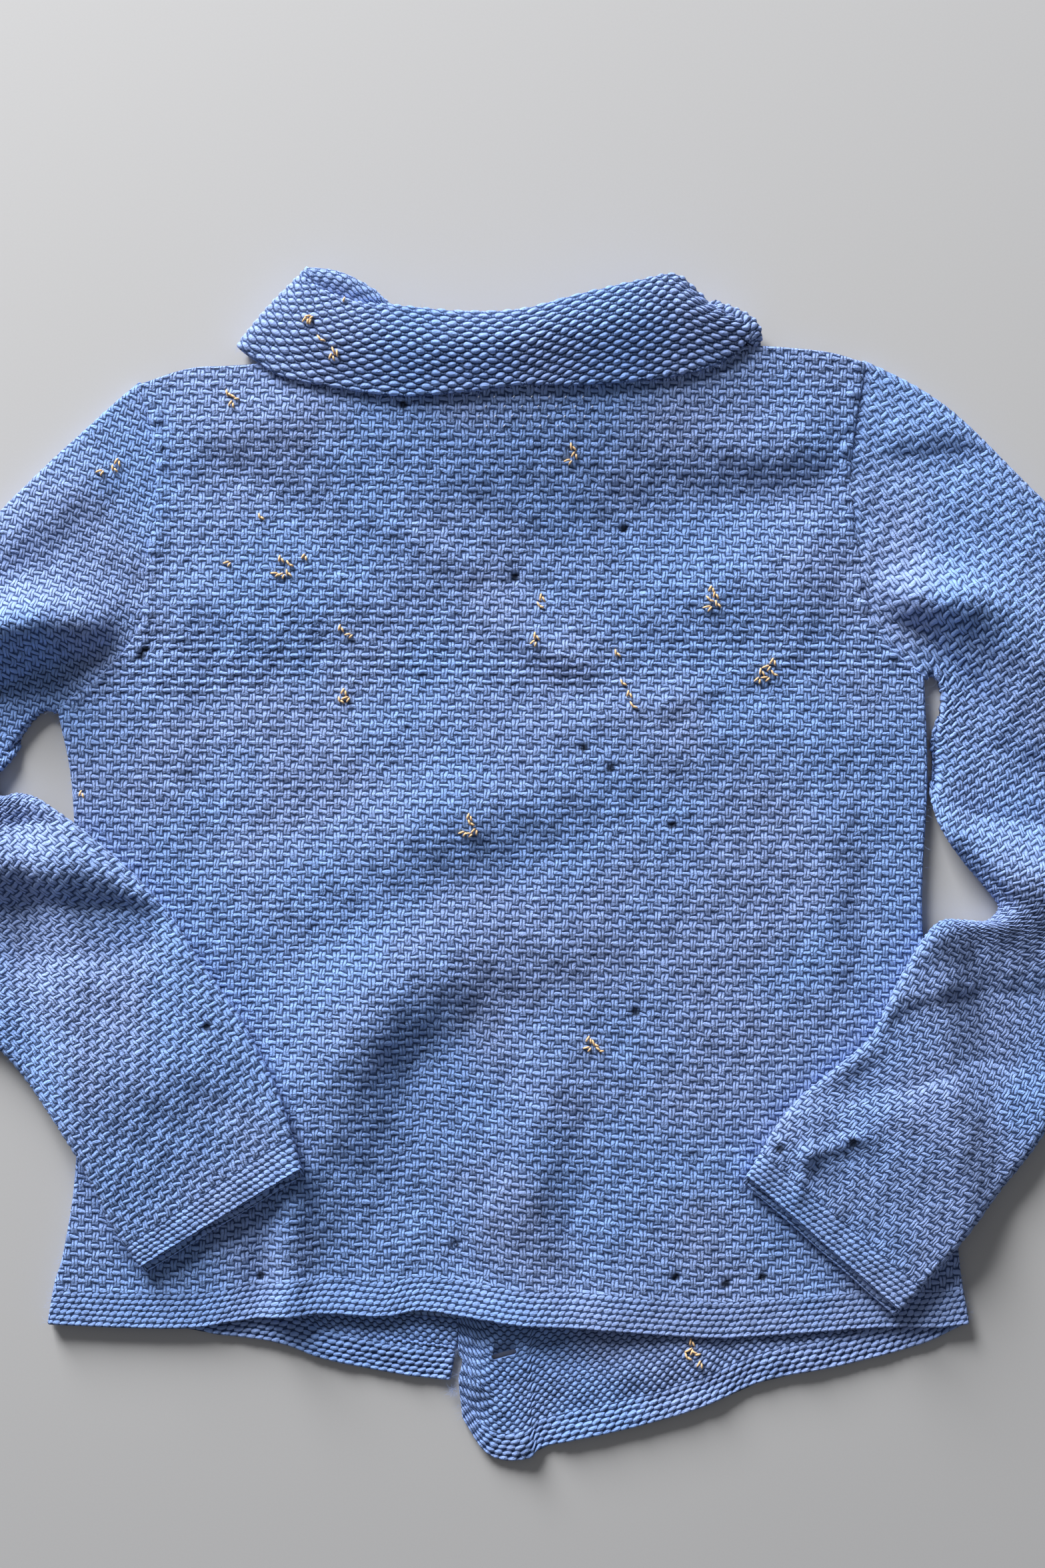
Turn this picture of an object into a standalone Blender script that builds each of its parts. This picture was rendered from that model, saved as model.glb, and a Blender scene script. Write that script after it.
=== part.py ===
"""A darned wool sweater lying flat with its back up, in metres, +Z up and +Y towards the neck.

It is a hand-knitted cardigan: a back, two fronts that part below the back's hem, two sleeves set
into the armholes and bent so that their forearms lie back over the body, and a collar knitted on
round the neck and turned down. Each piece is one wall of cloth. Plan tables are in millimetres,
x from the garment's middle and y from the back's hem.
"""

import bmesh
import bpy
import numpy as np
from mathutils import Vector

MM = 0.001
GARMENT = "darned_wool_sweater"

# Sizes in millimetres
WALL = 3.0
STACK = WALL + 0.8
SEAM = 0.6
COLLAR_PUFF = 4.5
NECK_OPENING = 3.0
LIFT_RUN = 80.0
LIFT_MARGIN = 8.0
SEAM_END = 3.0
REST_GAP = 1.0
SLEEVE_RAMP = 34.0
SLEEVE_RAMP_FROM = 3.0
BUTTONHOLE = (15.0, 3.4)
BUTTONHOLE_AT = (-2.6, -18.0)
BUTTONHOLE_TURN = 0.26

# Steps of each piece's mesh
ACROSS_SHOULDER = 5
ACROSS_NECK = 12
ACROSS_HALF_NECK = 8
UP_SIDE = 15
UP_ARMHOLE = 8
FOLD_STEPS = 4
ALONG_SLEEVE = 27
COLLAR_WALL_STEPS = 4
CURVE_STEPS = 12
EDGE_FINE = 400
NECK_FINE = 200

# Sleeve stations between which the fold heights come in, and the forearm comes up on the body
FOLDS_FULL_AT = 2.5
FOREARM_FROM = 4.5
FOREARM_UP_AT = 8.0

MERGE_METRES = 0.00005
WOOL_BLUE = (0.135, 0.225, 0.455)
WOOL_ROUGHNESS = 0.95

# The back's outline, from the hem's left corner round to the right: x, y
BACK_HEM = [
    (-274, 2), (-228, 0), (-188, 0), (-156, 5), (-112, 9), (-76, 7), (-49, 10),
    (4, 2), (38, 0), (114, -6), (153, -5), (222, 0), (256, 0), (274, 2),
]
SHOULDER_LEFT = [(-220, 561), (-189, 570), (-151, 572), (-93, 584)]
NECK_BACK = [(-93, 584), (-65, 577), (0, 573), (70, 578), (104, 588)]
SHOULDER_RIGHT = [(104, 588), (124, 584), (146, 583), (189, 580), (212, 574)]
SIDE_LEFT = [(-274, 2), (-270, 25), (-264, 47), (-257, 100), (-256, 200), (-259, 315), (-268, 368)]
SIDE_RIGHT = [(274, 2), (269, 31), (267, 50), (256, 145), (246, 242), (249, 326), (247, 388)]
ARMHOLE_LEFT = [
    (-268, 368), (-240, 392), (-222, 415), (-216, 446), (-211, 488), (-211, 530), (-220, 561),
]
ARMHOLE_RIGHT = [
    (247, 388), (232, 400), (220, 415), (211, 447), (206, 478), (204, 517), (212, 574),
]

# The fronts' own edges: hem from the side to the opening, the opening upwards, the neck outwards
FRONT_HEM_LEFT = [
    (-274, 3), (-196, 0), (-174, -4), (-138, -9), (-110, -19), (-67, -28), (-36, -32),
]
FRONT_EDGE_LEFT = [(-36, -32), (-33, -14), (-31, 6), (-20, 200), (-5, 538)]
NECK_FRONT_LEFT = [(-93, 584), (-76, 568), (-40, 547), (-5, 538)]
FRONT_HEM_RIGHT = [
    (-27, -56), (-15, -74), (-3, -80), (13, -78), (22, -72), (72, -61), (114, -49),
    (153, -33), (199, -24), (245, -12), (274, 1),
]
FRONT_EDGE_RIGHT = [(-27, -56), (-29, -35), (-27, -22), (-29, 5), (-17, 200), (-1, 538)]
NECK_FRONT_RIGHT = [(-1, 538), (40, 547), (80, 567), (104, 588)]

# The sleeves' sections, armhole to cuff: inner edge x and y, outer edge x and y, half height
SLEEVE_LEFT = [
    (-268, 368, -220, 561, STACK / 2),
    (-279, 364, -258, 530, 2.5),
    (-286, 357, -290, 500, 3.4),
    (-290, 350, -322, 468, 4.5),
    (-294, 342, -356, 438, 5.0),
    (-299, 335, -394, 400, 5.0),
    (-305, 329, -424, 352, 5.5),
    (-308, 322, -435, 302, 6.0),
    (-301, 316, -421, 256, 6.0),
    (-290, 318, -393, 228, 5.5),
    (-274, 312, -366, 207, 5.0),
    (-239, 286, -338, 187, 4.5),
    (-206, 253, -306, 166, 4.5),
    (-182, 218, -281, 137, 4.5),
    (-156, 181, -256, 101, 4.5),
    (-134, 137, -237, 62, 4.0),
    (-122, 98, -220, 37, 4.0),
]
SLEEVE_RIGHT = [
    (247, 388, 212, 574, STACK / 2),
    (255, 385, 258, 552, 2.6),
    (258, 376, 306, 507, 3.6),
    (257, 364, 334, 478, 4.4),
    (253, 350, 355, 448, 4.8),
    (252, 333, 371, 418, 5.0),
    (252, 314, 381, 392, 5.0),
    (258, 295, 388, 364, 5.5),
    (270, 278, 393, 334, 6.0),
    (283, 263, 392, 300, 6.0),
    (292, 250, 388, 268, 6.0),
    (284, 241, 379, 239, 6.0),
    (270, 242, 367, 213, 5.5),
    (256, 242, 355, 186, 5.0),
    (245, 231, 344, 160, 5.0),
    (230, 204, 333, 137, 4.5),
    (214, 173, 316, 108, 4.5),
    (190, 152, 297, 84, 4.5),
    (165, 129, 268, 49, 4.0),
    (142, 92, 234, 11, 4.0),
]
# How far a section near the armhole still follows the armhole's curve
CAP_BOW = [1.0, 0.6, 0.3, 0.1]

# The collar's stations, left to right: free edge x and y, fold x and y, sideways bow between them
COLLAR_BACK = [
    (-155, 581, -119, 620, -2),
    (-135, 567, -107, 612, -1),
    (-105, 560, -88, 605, 0),
    (-65, 554, -62, 602, 0),
    (-25, 556, -25, 598, 0),
    (7, 560, 7, 599, 0),
    (39, 560, 44, 609, 0),
    (75, 563, 76, 617, 0),
    (107, 568, 97, 621, 3),
    (130, 577, 110, 612, 6),
    (142, 587, 118, 605, 9),
]
COLLAR_FRONT_LEFT = [
    (-155, 581, -117, 624, -2),
    (-126, 562, -100, 621, 0),
    (-90, 542, -81, 612, 0),
    (-50, 529, -62, 602, 0),
    (-6, 521, -6, 590, 0),
]
COLLAR_FRONT_RIGHT = [
    (0, 521, 0, 590, 0),
    (50, 532, 38, 592, 0),
    (95, 556, 76, 595, 0),
    (124, 574, 100, 600, 4),
    (142, 587, 124, 603, 9),
]

# Folds: from x and y, to x and y, width, height; a negative height is a trough
BACK_FOLDS = [
    (-112, 122, -98, 160, 20, 6.0),
    (-98, 160, -50, 200, 22, 8.0),
    (-50, 200, 12, 224, 22, 6.0),
    (-96, 274, 26, 314, 26, 4.0),
    (-22, 70, 12, 146, 20, 4.0),
    (-130, 78, -138, 10, 11, 4.0),
    (128, 500, 180, 530, 16, 4.0),
    (6, 412, 40, 400, 14, 3.0),
]
SLEEVE_LEFT_FOLDS = [
    (-280, 408, -230, 410, 10, 5.5),
    (-306, 280, -226, 264, 10, 6.0),
    (-330, 330, -400, 330, 14, 4.0),
]
SLEEVE_RIGHT_FOLDS = [
    (226, 440, 266, 412, 10, 5.5),
    (262, 500, 310, 470, 14, 4.0),
    (276, 236, 350, 228, 9, 6.0),
    (236, 196, 196, 148, 8, 4.0),
]
FRONT_RIGHT_FOLDS = [(-14, -34, 8, -70, 9, 4.0)]


def smooth(rows, count):
    """Points spaced evenly by length on the Catmull-Rom curve through a table's rows."""
    p = np.array(rows, float)
    p = np.vstack([2 * p[0] - p[1], p, 2 * p[-1] - p[-2]])
    t = np.linspace(0, 1, CURVE_STEPS, endpoint=False)[None, :, None]
    a, b, c, d = (p[i : len(p) - 3 + i, None, :] for i in range(4))
    fine = 0.5 * (
        2 * b + (c - a) * t + (2 * a - 5 * b + 4 * c - d) * t**2 + (3 * b - a - 3 * c + d) * t**3
    )
    fine = np.vstack([fine.reshape(-1, p.shape[1]), p[-2]])
    run = np.concatenate([[0], np.cumsum(np.linalg.norm(np.diff(fine[:, :2], axis=0), axis=1))])
    at = np.linspace(0, run[-1], count + 1)
    return np.stack([np.interp(at, run, fine[:, k]) for k in range(p.shape[1])], axis=1)


def table_at(rows, at):
    """A table's rows read at fractions 0 to 1 of its length, each row taken as one even step."""
    p = np.array(rows, float)
    p = np.vstack([2 * p[0] - p[1], p, 2 * p[-1] - p[-2]])
    at = np.asarray(at, float) * (len(rows) - 1)
    i = np.minimum(at.astype(int), len(rows) - 2)
    t = (at - i)[:, None]
    a, b, c, d = p[i], p[i + 1], p[i + 2], p[i + 3]
    return 0.5 * (
        2 * b + (c - a) * t + (2 * a - 5 * b + 4 * c - d) * t**2 + (3 * b - a - 3 * c + d) * t**3
    )


def ramp(value, low, high):
    """0 below low, 1 above high, and a smooth step between them."""
    t = np.clip((value - low) / (high - low), 0, 1)
    return t * t * (3 - 2 * t)


def fold_height(x, y, folds):
    """The folds' heights at x, y: a soft hump across each line, fading at its ends."""
    total = np.zeros(np.shape(x))
    for x0, y0, x1, y1, width, height in folds:
        length = np.hypot(x1 - x0, y1 - y0)
        along = ((x - x0) * (x1 - x0) + (y - y0) * (y1 - y0)) / length
        beyond = np.maximum(np.maximum(-along, along - length), 0)
        across = ((x - x0) * (y1 - y0) - (y - y0) * (x1 - x0)) / length
        total = total + height * np.exp(-((across / width) ** 2) - (beyond / width) ** 2)
    return total


def collar_lift(x, y):
    """How far the body's cloth is lifted where the collar's front wall lies beneath it."""
    free = np.array([row[:2] for row in COLLAR_FRONT_LEFT + COLLAR_FRONT_RIGHT], float)
    left, right = free[0, 0], free[-1, 0]
    below = np.interp(x, free[:, 0], free[:, 1]) - y
    beside = np.maximum(left - x, x - right)
    return STACK * (1 - ramp(np.maximum(below, beside), LIFT_MARGIN, LIFT_RUN))


def front_level(x, y):
    """The middle of the fronts' wall above the floor."""
    return WALL / 2 + collar_lift(x, y)


def back_level(x, y):
    """The middle of the back's wall, which lies on the fronts."""
    return front_level(x, y) + STACK + fold_height(x, y, BACK_FOLDS)


def side_edge(side, armhole):
    """A body piece's side from the hem to the underarm, then its armhole up to the shoulder."""
    return np.vstack([smooth(side, UP_SIDE), smooth(armhole, UP_ARMHOLE)[1:]])


def along_like(rows, pattern):
    """A curve through rows, with its points at the same shares of length as the pattern's."""
    run = np.concatenate([[0], np.cumsum(np.linalg.norm(np.diff(pattern, axis=0), axis=1))])
    fine = smooth(rows, EDGE_FINE)
    return fine[np.rint(run / run[-1] * EDGE_FINE).astype(int)]


def patch(left, right, bottom, top):
    """The Coons patch between four edges, as grids of x and y with a row for each side point."""
    u = np.linspace(0, 1, len(bottom))[None, :, None]
    run = np.cumsum(np.linalg.norm(np.diff(left, axis=0), axis=1))
    v = (np.concatenate([[0], run]) / run[-1])[:, None, None]
    across = (1 - u) * left[:, None] + u * right[:, None]
    upward = (1 - v) * bottom[None] + v * top[None]
    corners = (1 - v) * ((1 - u) * bottom[0] + u * bottom[-1]) + v * (
        (1 - u) * top[0] + u * top[-1]
    )
    return across + upward - corners


def edges(*parts):
    """One edge made of several curves end to end, each given as its rows and its steps."""
    return np.vstack([smooth(rows, steps)[i > 0 :] for i, (rows, steps) in enumerate(parts)])


def cloth(name, points, closed=False):
    """A wall of cloth: a grid moved onto the points of its middle surface, then thickened."""
    rows, columns = points.shape[:2]
    mesh = bpy.data.meshes.new(name)
    bm = bmesh.new()
    bmesh.ops.create_grid(bm, x_segments=columns - 1, y_segments=rows - 1, size=0.5)
    for vertex in bm.verts:
        column = round((vertex.co.x + 0.5) * (columns - 1))
        row = round((vertex.co.y + 0.5) * (rows - 1))
        vertex.co = points[row, column] * MM
    if closed:
        bmesh.ops.remove_doubles(bm, verts=bm.verts, dist=MERGE_METRES)
    bmesh.ops.recalc_face_normals(bm, faces=bm.faces)
    bm.to_mesh(mesh)
    bm.free()
    piece = bpy.data.objects.new(name, mesh)
    bpy.data.collections[GARMENT].objects.link(piece)
    wall = piece.modifiers.new("wall", "SOLIDIFY")
    wall.thickness = WALL * MM
    wall.offset = 0
    mesh.shade_smooth()
    mesh.materials.append(wool(name))
    return piece


def wool(name):
    """The piece's own wool: blue yarn, rough and not metallic."""
    material = bpy.data.materials.new(name + "_wool")
    material.use_nodes = True
    shader = material.node_tree.nodes["Principled BSDF"]
    shader.inputs["Base Color"].default_value = (*WOOL_BLUE, 1)
    shader.inputs["Roughness"].default_value = WOOL_ROUGHNESS
    shader.inputs["Metallic"].default_value = 0
    material.diffuse_color = (*WOOL_BLUE, 1)
    return material


def on_level(plan, level):
    """The plan grid with its heights."""
    return np.dstack([plan, level(plan[..., 0], plan[..., 1])])


def back():
    """The back, from its hem to the shoulders and the neck seam."""
    plan = patch(
        side_edge(SIDE_LEFT, ARMHOLE_LEFT),
        side_edge(SIDE_RIGHT, ARMHOLE_RIGHT),
        smooth(BACK_HEM, 2 * ACROSS_SHOULDER + ACROSS_NECK),
        edges(
            (SHOULDER_LEFT, ACROSS_SHOULDER),
            (NECK_BACK, ACROSS_NECK),
            (SHOULDER_RIGHT, ACROSS_SHOULDER),
        ),
    )
    return cloth("back", on_level(plan, back_level))


def front_left():
    """The front on the left, from its side to the opening."""
    side = side_edge(SIDE_LEFT, ARMHOLE_LEFT)
    plan = patch(
        side,
        along_like(FRONT_EDGE_LEFT, side),
        smooth(FRONT_HEM_LEFT, ACROSS_SHOULDER + ACROSS_HALF_NECK),
        edges((SHOULDER_LEFT, ACROSS_SHOULDER), (NECK_FRONT_LEFT, ACROSS_HALF_NECK)),
    )
    return cloth("front_left", on_level(plan, front_level))


def front_right():
    """The front on the right, whose corner hangs lowest, with a buttonhole in its band."""
    side = side_edge(SIDE_RIGHT, ARMHOLE_RIGHT)
    plan = patch(
        along_like(FRONT_EDGE_RIGHT, side),
        side,
        smooth(FRONT_HEM_RIGHT, ACROSS_SHOULDER + ACROSS_HALF_NECK),
        edges((NECK_FRONT_RIGHT, ACROSS_HALF_NECK), (SHOULDER_RIGHT, ACROSS_SHOULDER)),
    )
    points = on_level(plan, front_level)
    points[..., 2] += fold_height(points[..., 0], points[..., 1], FRONT_RIGHT_FOLDS)
    piece = cloth("front_right", points)
    cut_buttonhole(piece)
    return piece


def cut_buttonhole(piece):
    """Cuts the buttonhole's slit through the front's band."""
    bpy.ops.mesh.primitive_cube_add(size=1)
    cutter = bpy.context.object
    cutter.name = "buttonhole_cutter"
    cutter.scale = (BUTTONHOLE[0] * MM, BUTTONHOLE[1] * MM, 10 * WALL * MM)
    cutter.location = (BUTTONHOLE_AT[0] * MM, BUTTONHOLE_AT[1] * MM, 0)
    cutter.rotation_euler.z = BUTTONHOLE_TURN
    cutter.hide_render = True
    cutter.display_type = "WIRE"
    for collection in list(cutter.users_collection):
        collection.objects.unlink(cutter)
    bpy.data.collections["cutters"].objects.link(cutter)
    slit = piece.modifiers.new("buttonhole", "BOOLEAN")
    slit.object = cutter
    slit.operation = "DIFFERENCE"


def support(x, y, side):
    """The height that a sleeve's underside rests at: the body's top face, or the floor.

    side is the body's edge table; outside it the cloth comes down to the floor over a ramp.
    """
    edge = np.array(side, float)
    beyond = np.sign(edge[0, 0]) * (x - np.interp(y, edge[:, 1], edge[:, 0]))
    low = np.where(y < edge[0, 1], edge[0, 1] - y, beyond)
    over_body = 1 - ramp(np.maximum(low, beyond), SLEEVE_RAMP_FROM, SLEEVE_RAMP)
    return (back_level(x, y) + STACK + REST_GAP - WALL / 2) * over_body


def sleeve(name, sections, armhole, side, folds):
    """A sleeve: a flattened tube whose rings run from the armhole round the elbow to the cuff.

    A ring is the upper wall from the inner edge to the outer one, a round turn, the lower wall
    back again and another turn. The first ring follows the armhole.
    """
    share = np.linspace(0, 1, ALONG_SLEEVE + 1)
    station = share * (len(sections) - 1)
    rows = table_at(sections, share)
    inner, outer, half = rows[:, 0:2], rows[:, 2:4], rows[:, 4, None]
    outward = (outer - inner) / np.linalg.norm(outer - inner, axis=1)[:, None]
    margin = (half + WALL / 2) * ramp(station, 0, 1)[:, None]
    a = np.linspace(0, 1, UP_ARMHOLE + 1)
    bow_share = np.interp(station, range(len(CAP_BOW) + 1), CAP_BOW + [0])[:, None]
    seam = armhole_seam(armhole)
    start, end = inner + outward * margin, outer - outward * margin
    start, end = start + (seam[0] - inner[0]) * bow_share, end + (seam[-1] - outer[0]) * bow_share
    bow = seam - (seam[0] + (seam[-1] - seam[0]) * a[:, None])
    wall = start[:, None] + (end - start)[:, None] * a[None, :, None]
    wall = wall + bow_share[:, None] * bow[None]

    turn = np.linspace(0, np.pi, FOLD_STEPS + 1)[1:-1]
    bulge = half[:, None] * np.sin(turn)[None, :, None]
    inner_way = (wall[:, 0] - wall[:, 1]) / np.linalg.norm(wall[:, 0] - wall[:, 1], axis=1)[:, None]
    outer_way = (wall[:, -1] - wall[:, -2]) / np.linalg.norm(wall[:, -1] - wall[:, -2], axis=1)[:, None]
    inner_turn = wall[:, :1] + inner_way[:, None] * bulge
    outer_turn = wall[:, -1:] + outer_way[:, None] * bulge
    ring = np.concatenate([wall, outer_turn, wall[:, ::-1], inner_turn], axis=1)

    flat = np.ones(len(a))
    height = 1 + np.concatenate([flat, np.cos(turn), -flat, -np.cos(turn)])
    raised = ramp(station, FOREARM_FROM, FOREARM_UP_AT)[:, None]
    z = WALL / 2 + half * height + support(ring[..., 0], ring[..., 1], side) * raised
    upper = np.zeros(len(height))
    upper[1:UP_ARMHOLE] = 1
    folded = upper * ramp(station, 0, FOLDS_FULL_AT)[:, None]
    z = z + fold_height(ring[..., 0], ring[..., 1], folds) * folded
    points = np.dstack([ring, z])
    return cloth(name, np.concatenate([points, points[:, :1]], axis=1), closed=True)


def armhole_seam(armhole):
    """The sleeve's side of the armhole's seam, a little longer than the body's at both ends."""
    edge = smooth(armhole, UP_ARMHOLE)
    run = np.gradient(edge, axis=0)
    run /= np.linalg.norm(run, axis=1)[:, None]
    away = np.stack([run[:, 1], -run[:, 0]], axis=1) * np.sign(armhole[0][0])
    edge = edge + SEAM * away
    edge[0] -= SEAM_END * run[0]
    edge[-1] += SEAM_END * run[-1]
    return edge


def collar_profile(table, neck, u, at_end, beneath):
    """The collar's points at one share u of a table, where the neck seam is at neck.

    The outer wall runs from the free edge up to the fold, the stand from there to the neck seam.
    Beneath the garment the outer wall is the lowest of all, and above it the highest.
    """
    free, fold, bow = np.split(table_at(table, [u])[0], [2, 4])
    level = front_level if beneath else back_level
    side = -1 if beneath else 1
    arch = 0 if beneath else np.sin(np.pi * u) ** 0.5
    gap = STACK + arch
    v = np.linspace(0, 1, COLLAR_WALL_STEPS + 1)[:, None]
    neck_z = level(*neck)
    stand_z = neck_z + NECK_OPENING * arch
    free_z = level(*free) + side * STACK
    outer_z = free_z + (stand_z + side * gap - free_z) * v + COLLAR_PUFF * arch * np.sin(np.pi * v)
    up = (fold - neck) / np.linalg.norm(fold - neck)
    neck = neck + SEAM_END * at_end * up
    turn = np.linspace(0, np.pi, FOLD_STEPS + 1)[1:-1, None]
    outer = np.hstack([free + (fold - free) * v, outer_z])
    outer[:, 0] += bow * np.sin(np.pi * v[:, 0])
    bend = np.hstack(
        [fold + up * gap / 2 * np.sin(turn), stand_z + side * gap / 2 * (1 + np.cos(turn))]
    )
    stand = np.hstack([fold + (neck - fold) * v, stand_z + (neck_z - stand_z) * v])
    return np.vstack([outer, bend, stand])


def collar_sections(table, neck_rows, steps, crowding, beneath):
    """The collar's profiles along a table.

    crowding is how much the seam's points crowd towards the shoulder: 0 is evenly spaced, and
    its sign says which end of the table is the shoulder's.
    """
    u = np.linspace(0, 1, steps + 1)
    edge = smooth(neck_rows, NECK_FINE)
    run = np.gradient(edge, axis=0)
    edge = edge + SEAM * np.stack([-run[:, 1], run[:, 0]], 1) / np.linalg.norm(run, axis=1)[:, None]
    share = np.where(crowding < 0, u ** (1 - crowding), 1 - (1 - u) ** (1 + crowding))
    ends = [crowding <= 0, crowding >= 0]
    at_end = [ends[0]] + [False] * (steps - 1) + [ends[1]]
    necks = edge[np.rint(share * NECK_FINE).astype(int)]
    return [collar_profile(table, neck, *at, beneath) for neck, *at in zip(necks, u, at_end)]


def collar_end(beneath, above, side):
    """The collar's sections round one end, turning from the wall beneath to the wall above.

    The outer wall turns round outside the end, the stand inside it.
    """
    middle = (beneath + above)[:, :2] / 2
    walls = middle[: COLLAR_WALL_STEPS + 1], middle[COLLAR_WALL_STEPS + FOLD_STEPS :]
    runs = [np.gradient(wall, axis=0) for wall in walls]
    outer, stand = [np.stack([run[:, 1], -run[:, 0]], axis=1) * side for run in runs]
    t = np.linspace(0, 1, FOLD_STEPS + 1)[1:-1, None]
    outward = np.vstack([outer, outer[-1] * (1 - t) + stand[0] * t, stand])
    outward /= np.linalg.norm(outward, axis=1)[:, None]
    lean = np.concatenate([np.ones(len(outer)), np.cos(np.pi * t[:, 0]), -np.ones(len(stand))])
    radius = (above[:, 2] - beneath[:, 2]) / 2
    sections = []
    for turn in np.linspace(0, np.pi, FOLD_STEPS + 1):
        section = beneath + (above - beneath) * (1 - np.cos(turn)) / 2
        section[:, :2] += outward * (radius * lean * np.sin(turn))[:, None]
        sections.append(section)
    return sections


def collar():
    """The collar, knitted on round the neck and turned down, open where the fronts part."""
    left = collar_sections(COLLAR_FRONT_LEFT, NECK_FRONT_LEFT, ACROSS_HALF_NECK, -1, True)[::-1]
    above = collar_sections(COLLAR_BACK, NECK_BACK, 2 * ACROSS_NECK, 0, False)
    right = collar_sections(COLLAR_FRONT_RIGHT, NECK_FRONT_RIGHT, ACROSS_HALF_NECK, 1, True)[::-1]
    left_end = collar_end(left[-1], above[0], -1)
    right_end = collar_end(right[0], above[-1], 1)[::-1]
    return cloth("collar", np.array(left[:-1] + left_end + above[1:-1] + right_end + right[1:]))


def stand_on_origin(pieces):
    """Moves the garment so that the origin is under the middle of its box."""
    finished = bpy.context.evaluated_depsgraph_get()
    corners = np.array([c for piece in pieces for c in piece.evaluated_get(finished).bound_box])
    low, high = corners.min(axis=0), corners.max(axis=0)
    shift = np.array([(low[0] + high[0]) / 2, (low[1] + high[1]) / 2, low[2]])
    for piece in pieces:
        for vertex in piece.data.vertices:
            vertex.co -= Vector(shift)
    for cutter in bpy.data.collections["cutters"].objects:
        cutter.location -= Vector(shift)


for old in list(bpy.data.objects):
    bpy.data.objects.remove(old, do_unlink=True)
for collection_name in (GARMENT, "cutters"):
    bpy.context.scene.collection.children.link(bpy.data.collections.new(collection_name))
stand_on_origin(
    [
        back(),
        front_left(),
        front_right(),
        sleeve("sleeve_left", SLEEVE_LEFT, ARMHOLE_LEFT, SIDE_LEFT, SLEEVE_LEFT_FOLDS),
        sleeve("sleeve_right", SLEEVE_RIGHT, ARMHOLE_RIGHT, SIDE_RIGHT, SLEEVE_RIGHT_FOLDS),
        collar(),
    ]
)
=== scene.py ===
"""The darned wool sweater as it lies: back up, its sleeves bent back over the body, worn and mended.

Tables are in millimetres, x from the garment's middle and y from the back's hem. Each piece is its
knitting: the same stitch recipe raises the mesh and, finer, the bump of the wool on it.
"""

import bmesh
import bpy
import numpy as np
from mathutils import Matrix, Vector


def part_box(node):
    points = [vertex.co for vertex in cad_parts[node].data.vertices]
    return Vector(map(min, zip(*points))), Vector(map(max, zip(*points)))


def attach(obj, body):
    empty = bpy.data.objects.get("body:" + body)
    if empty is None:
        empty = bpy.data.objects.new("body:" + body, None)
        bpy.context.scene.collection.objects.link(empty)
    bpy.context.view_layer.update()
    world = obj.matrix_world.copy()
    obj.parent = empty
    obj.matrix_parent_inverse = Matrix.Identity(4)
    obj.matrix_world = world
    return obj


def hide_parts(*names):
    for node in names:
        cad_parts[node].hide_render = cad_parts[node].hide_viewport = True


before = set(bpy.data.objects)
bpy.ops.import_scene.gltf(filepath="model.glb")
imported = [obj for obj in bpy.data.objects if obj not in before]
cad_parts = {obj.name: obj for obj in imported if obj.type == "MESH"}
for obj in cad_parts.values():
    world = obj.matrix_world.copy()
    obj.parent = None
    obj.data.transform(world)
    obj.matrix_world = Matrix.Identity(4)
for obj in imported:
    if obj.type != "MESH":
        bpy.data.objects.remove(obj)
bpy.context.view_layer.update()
MM = 0.001

# The surface: a plain pale table top, painted and matt. It is only where the sweater was laid to
# be looked at, from straight above, under one broad soft light from the upper left.
FLOOR_SIDE = 6.0
FLOOR_DROP = 0.0004
PALE_PAINT = "#BDBDBE"
SKY_WHITE = "#F1F2F5"
SKY_STRENGTH = 0.19
WINDOW_AT = (-1.9, 3.7, 1.5)
WINDOW_SIZE = 2.0
WINDOW_WATTS = 480.0
CAMERA_AT = (8.4, 323.6, 1307.0)
LENS = 50.0
FILM = 36.0
BACK_LEFT_CORNER = (-274.0, -6.0)

back_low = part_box("back")[0]
MIDDLE = np.array([back_low.x / MM - BACK_LEFT_CORNER[0], back_low.y / MM - BACK_LEFT_CORNER[1]])


def linear(colour):
    """An sRGB hex colour as linear red, green, blue and alpha: the standard power curve."""
    value = np.array([int(colour[i : i + 2], 16) for i in (1, 3, 5)]) / 255
    value = np.where(value < 0.04045, value / 12.92, ((value + 0.055) / 1.055) ** 2.4)
    return (*value, 1.0)


def add(tree, kind, inputs=(), **settings):
    """Adds a node with its settings, and fills its inputs: a socket is linked, a value is set."""
    made = tree.nodes.new(kind)
    for name, value in settings.items():
        setattr(made, name, value)
    for name, value in dict(inputs).items():
        if isinstance(value, bpy.types.NodeSocket):
            tree.links.new(value, made.inputs[name])
        else:
            made.inputs[name].default_value = value
    return made


def new_material(name):
    """An empty material's tree, its Principled shader and itself."""
    material = bpy.data.materials.new(name)
    material.use_nodes = True
    return material, material.node_tree, material.node_tree.nodes["Principled BSDF"]


def painted_table():
    """Matt paint, a little uneven in tone as a hand-painted board is."""
    material, tree, shader = new_material("matt_paint")
    place = add(tree, "ShaderNodeTexCoord").outputs["Object"]
    grain = add(tree, "ShaderNodeTexNoise", {"Vector": place, "Scale": 900.0, "Detail": 2.0})
    tone = add(
        tree, "ShaderNodeMapRange",
        {"Value": grain.outputs["Fac"], "To Min": 0.975, "To Max": 1.025},
    )
    mixed = add(
        tree, "ShaderNodeMix",
        {"Factor": 1.0, "A": linear(PALE_PAINT), "B": tone.outputs["Result"]}, data_type="RGBA",
        blend_type="MULTIPLY",
    )
    tree.links.new(mixed.outputs["Result"], shader.inputs["Base Color"])
    shader.inputs["Roughness"].default_value = 0.85
    return material


bpy.ops.mesh.primitive_plane_add(size=FLOOR_SIDE, location=(0, 0, -FLOOR_DROP))
table_top = bpy.context.object
table_top.name = "table_top"
table_top.data.materials.append(painted_table())

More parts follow.
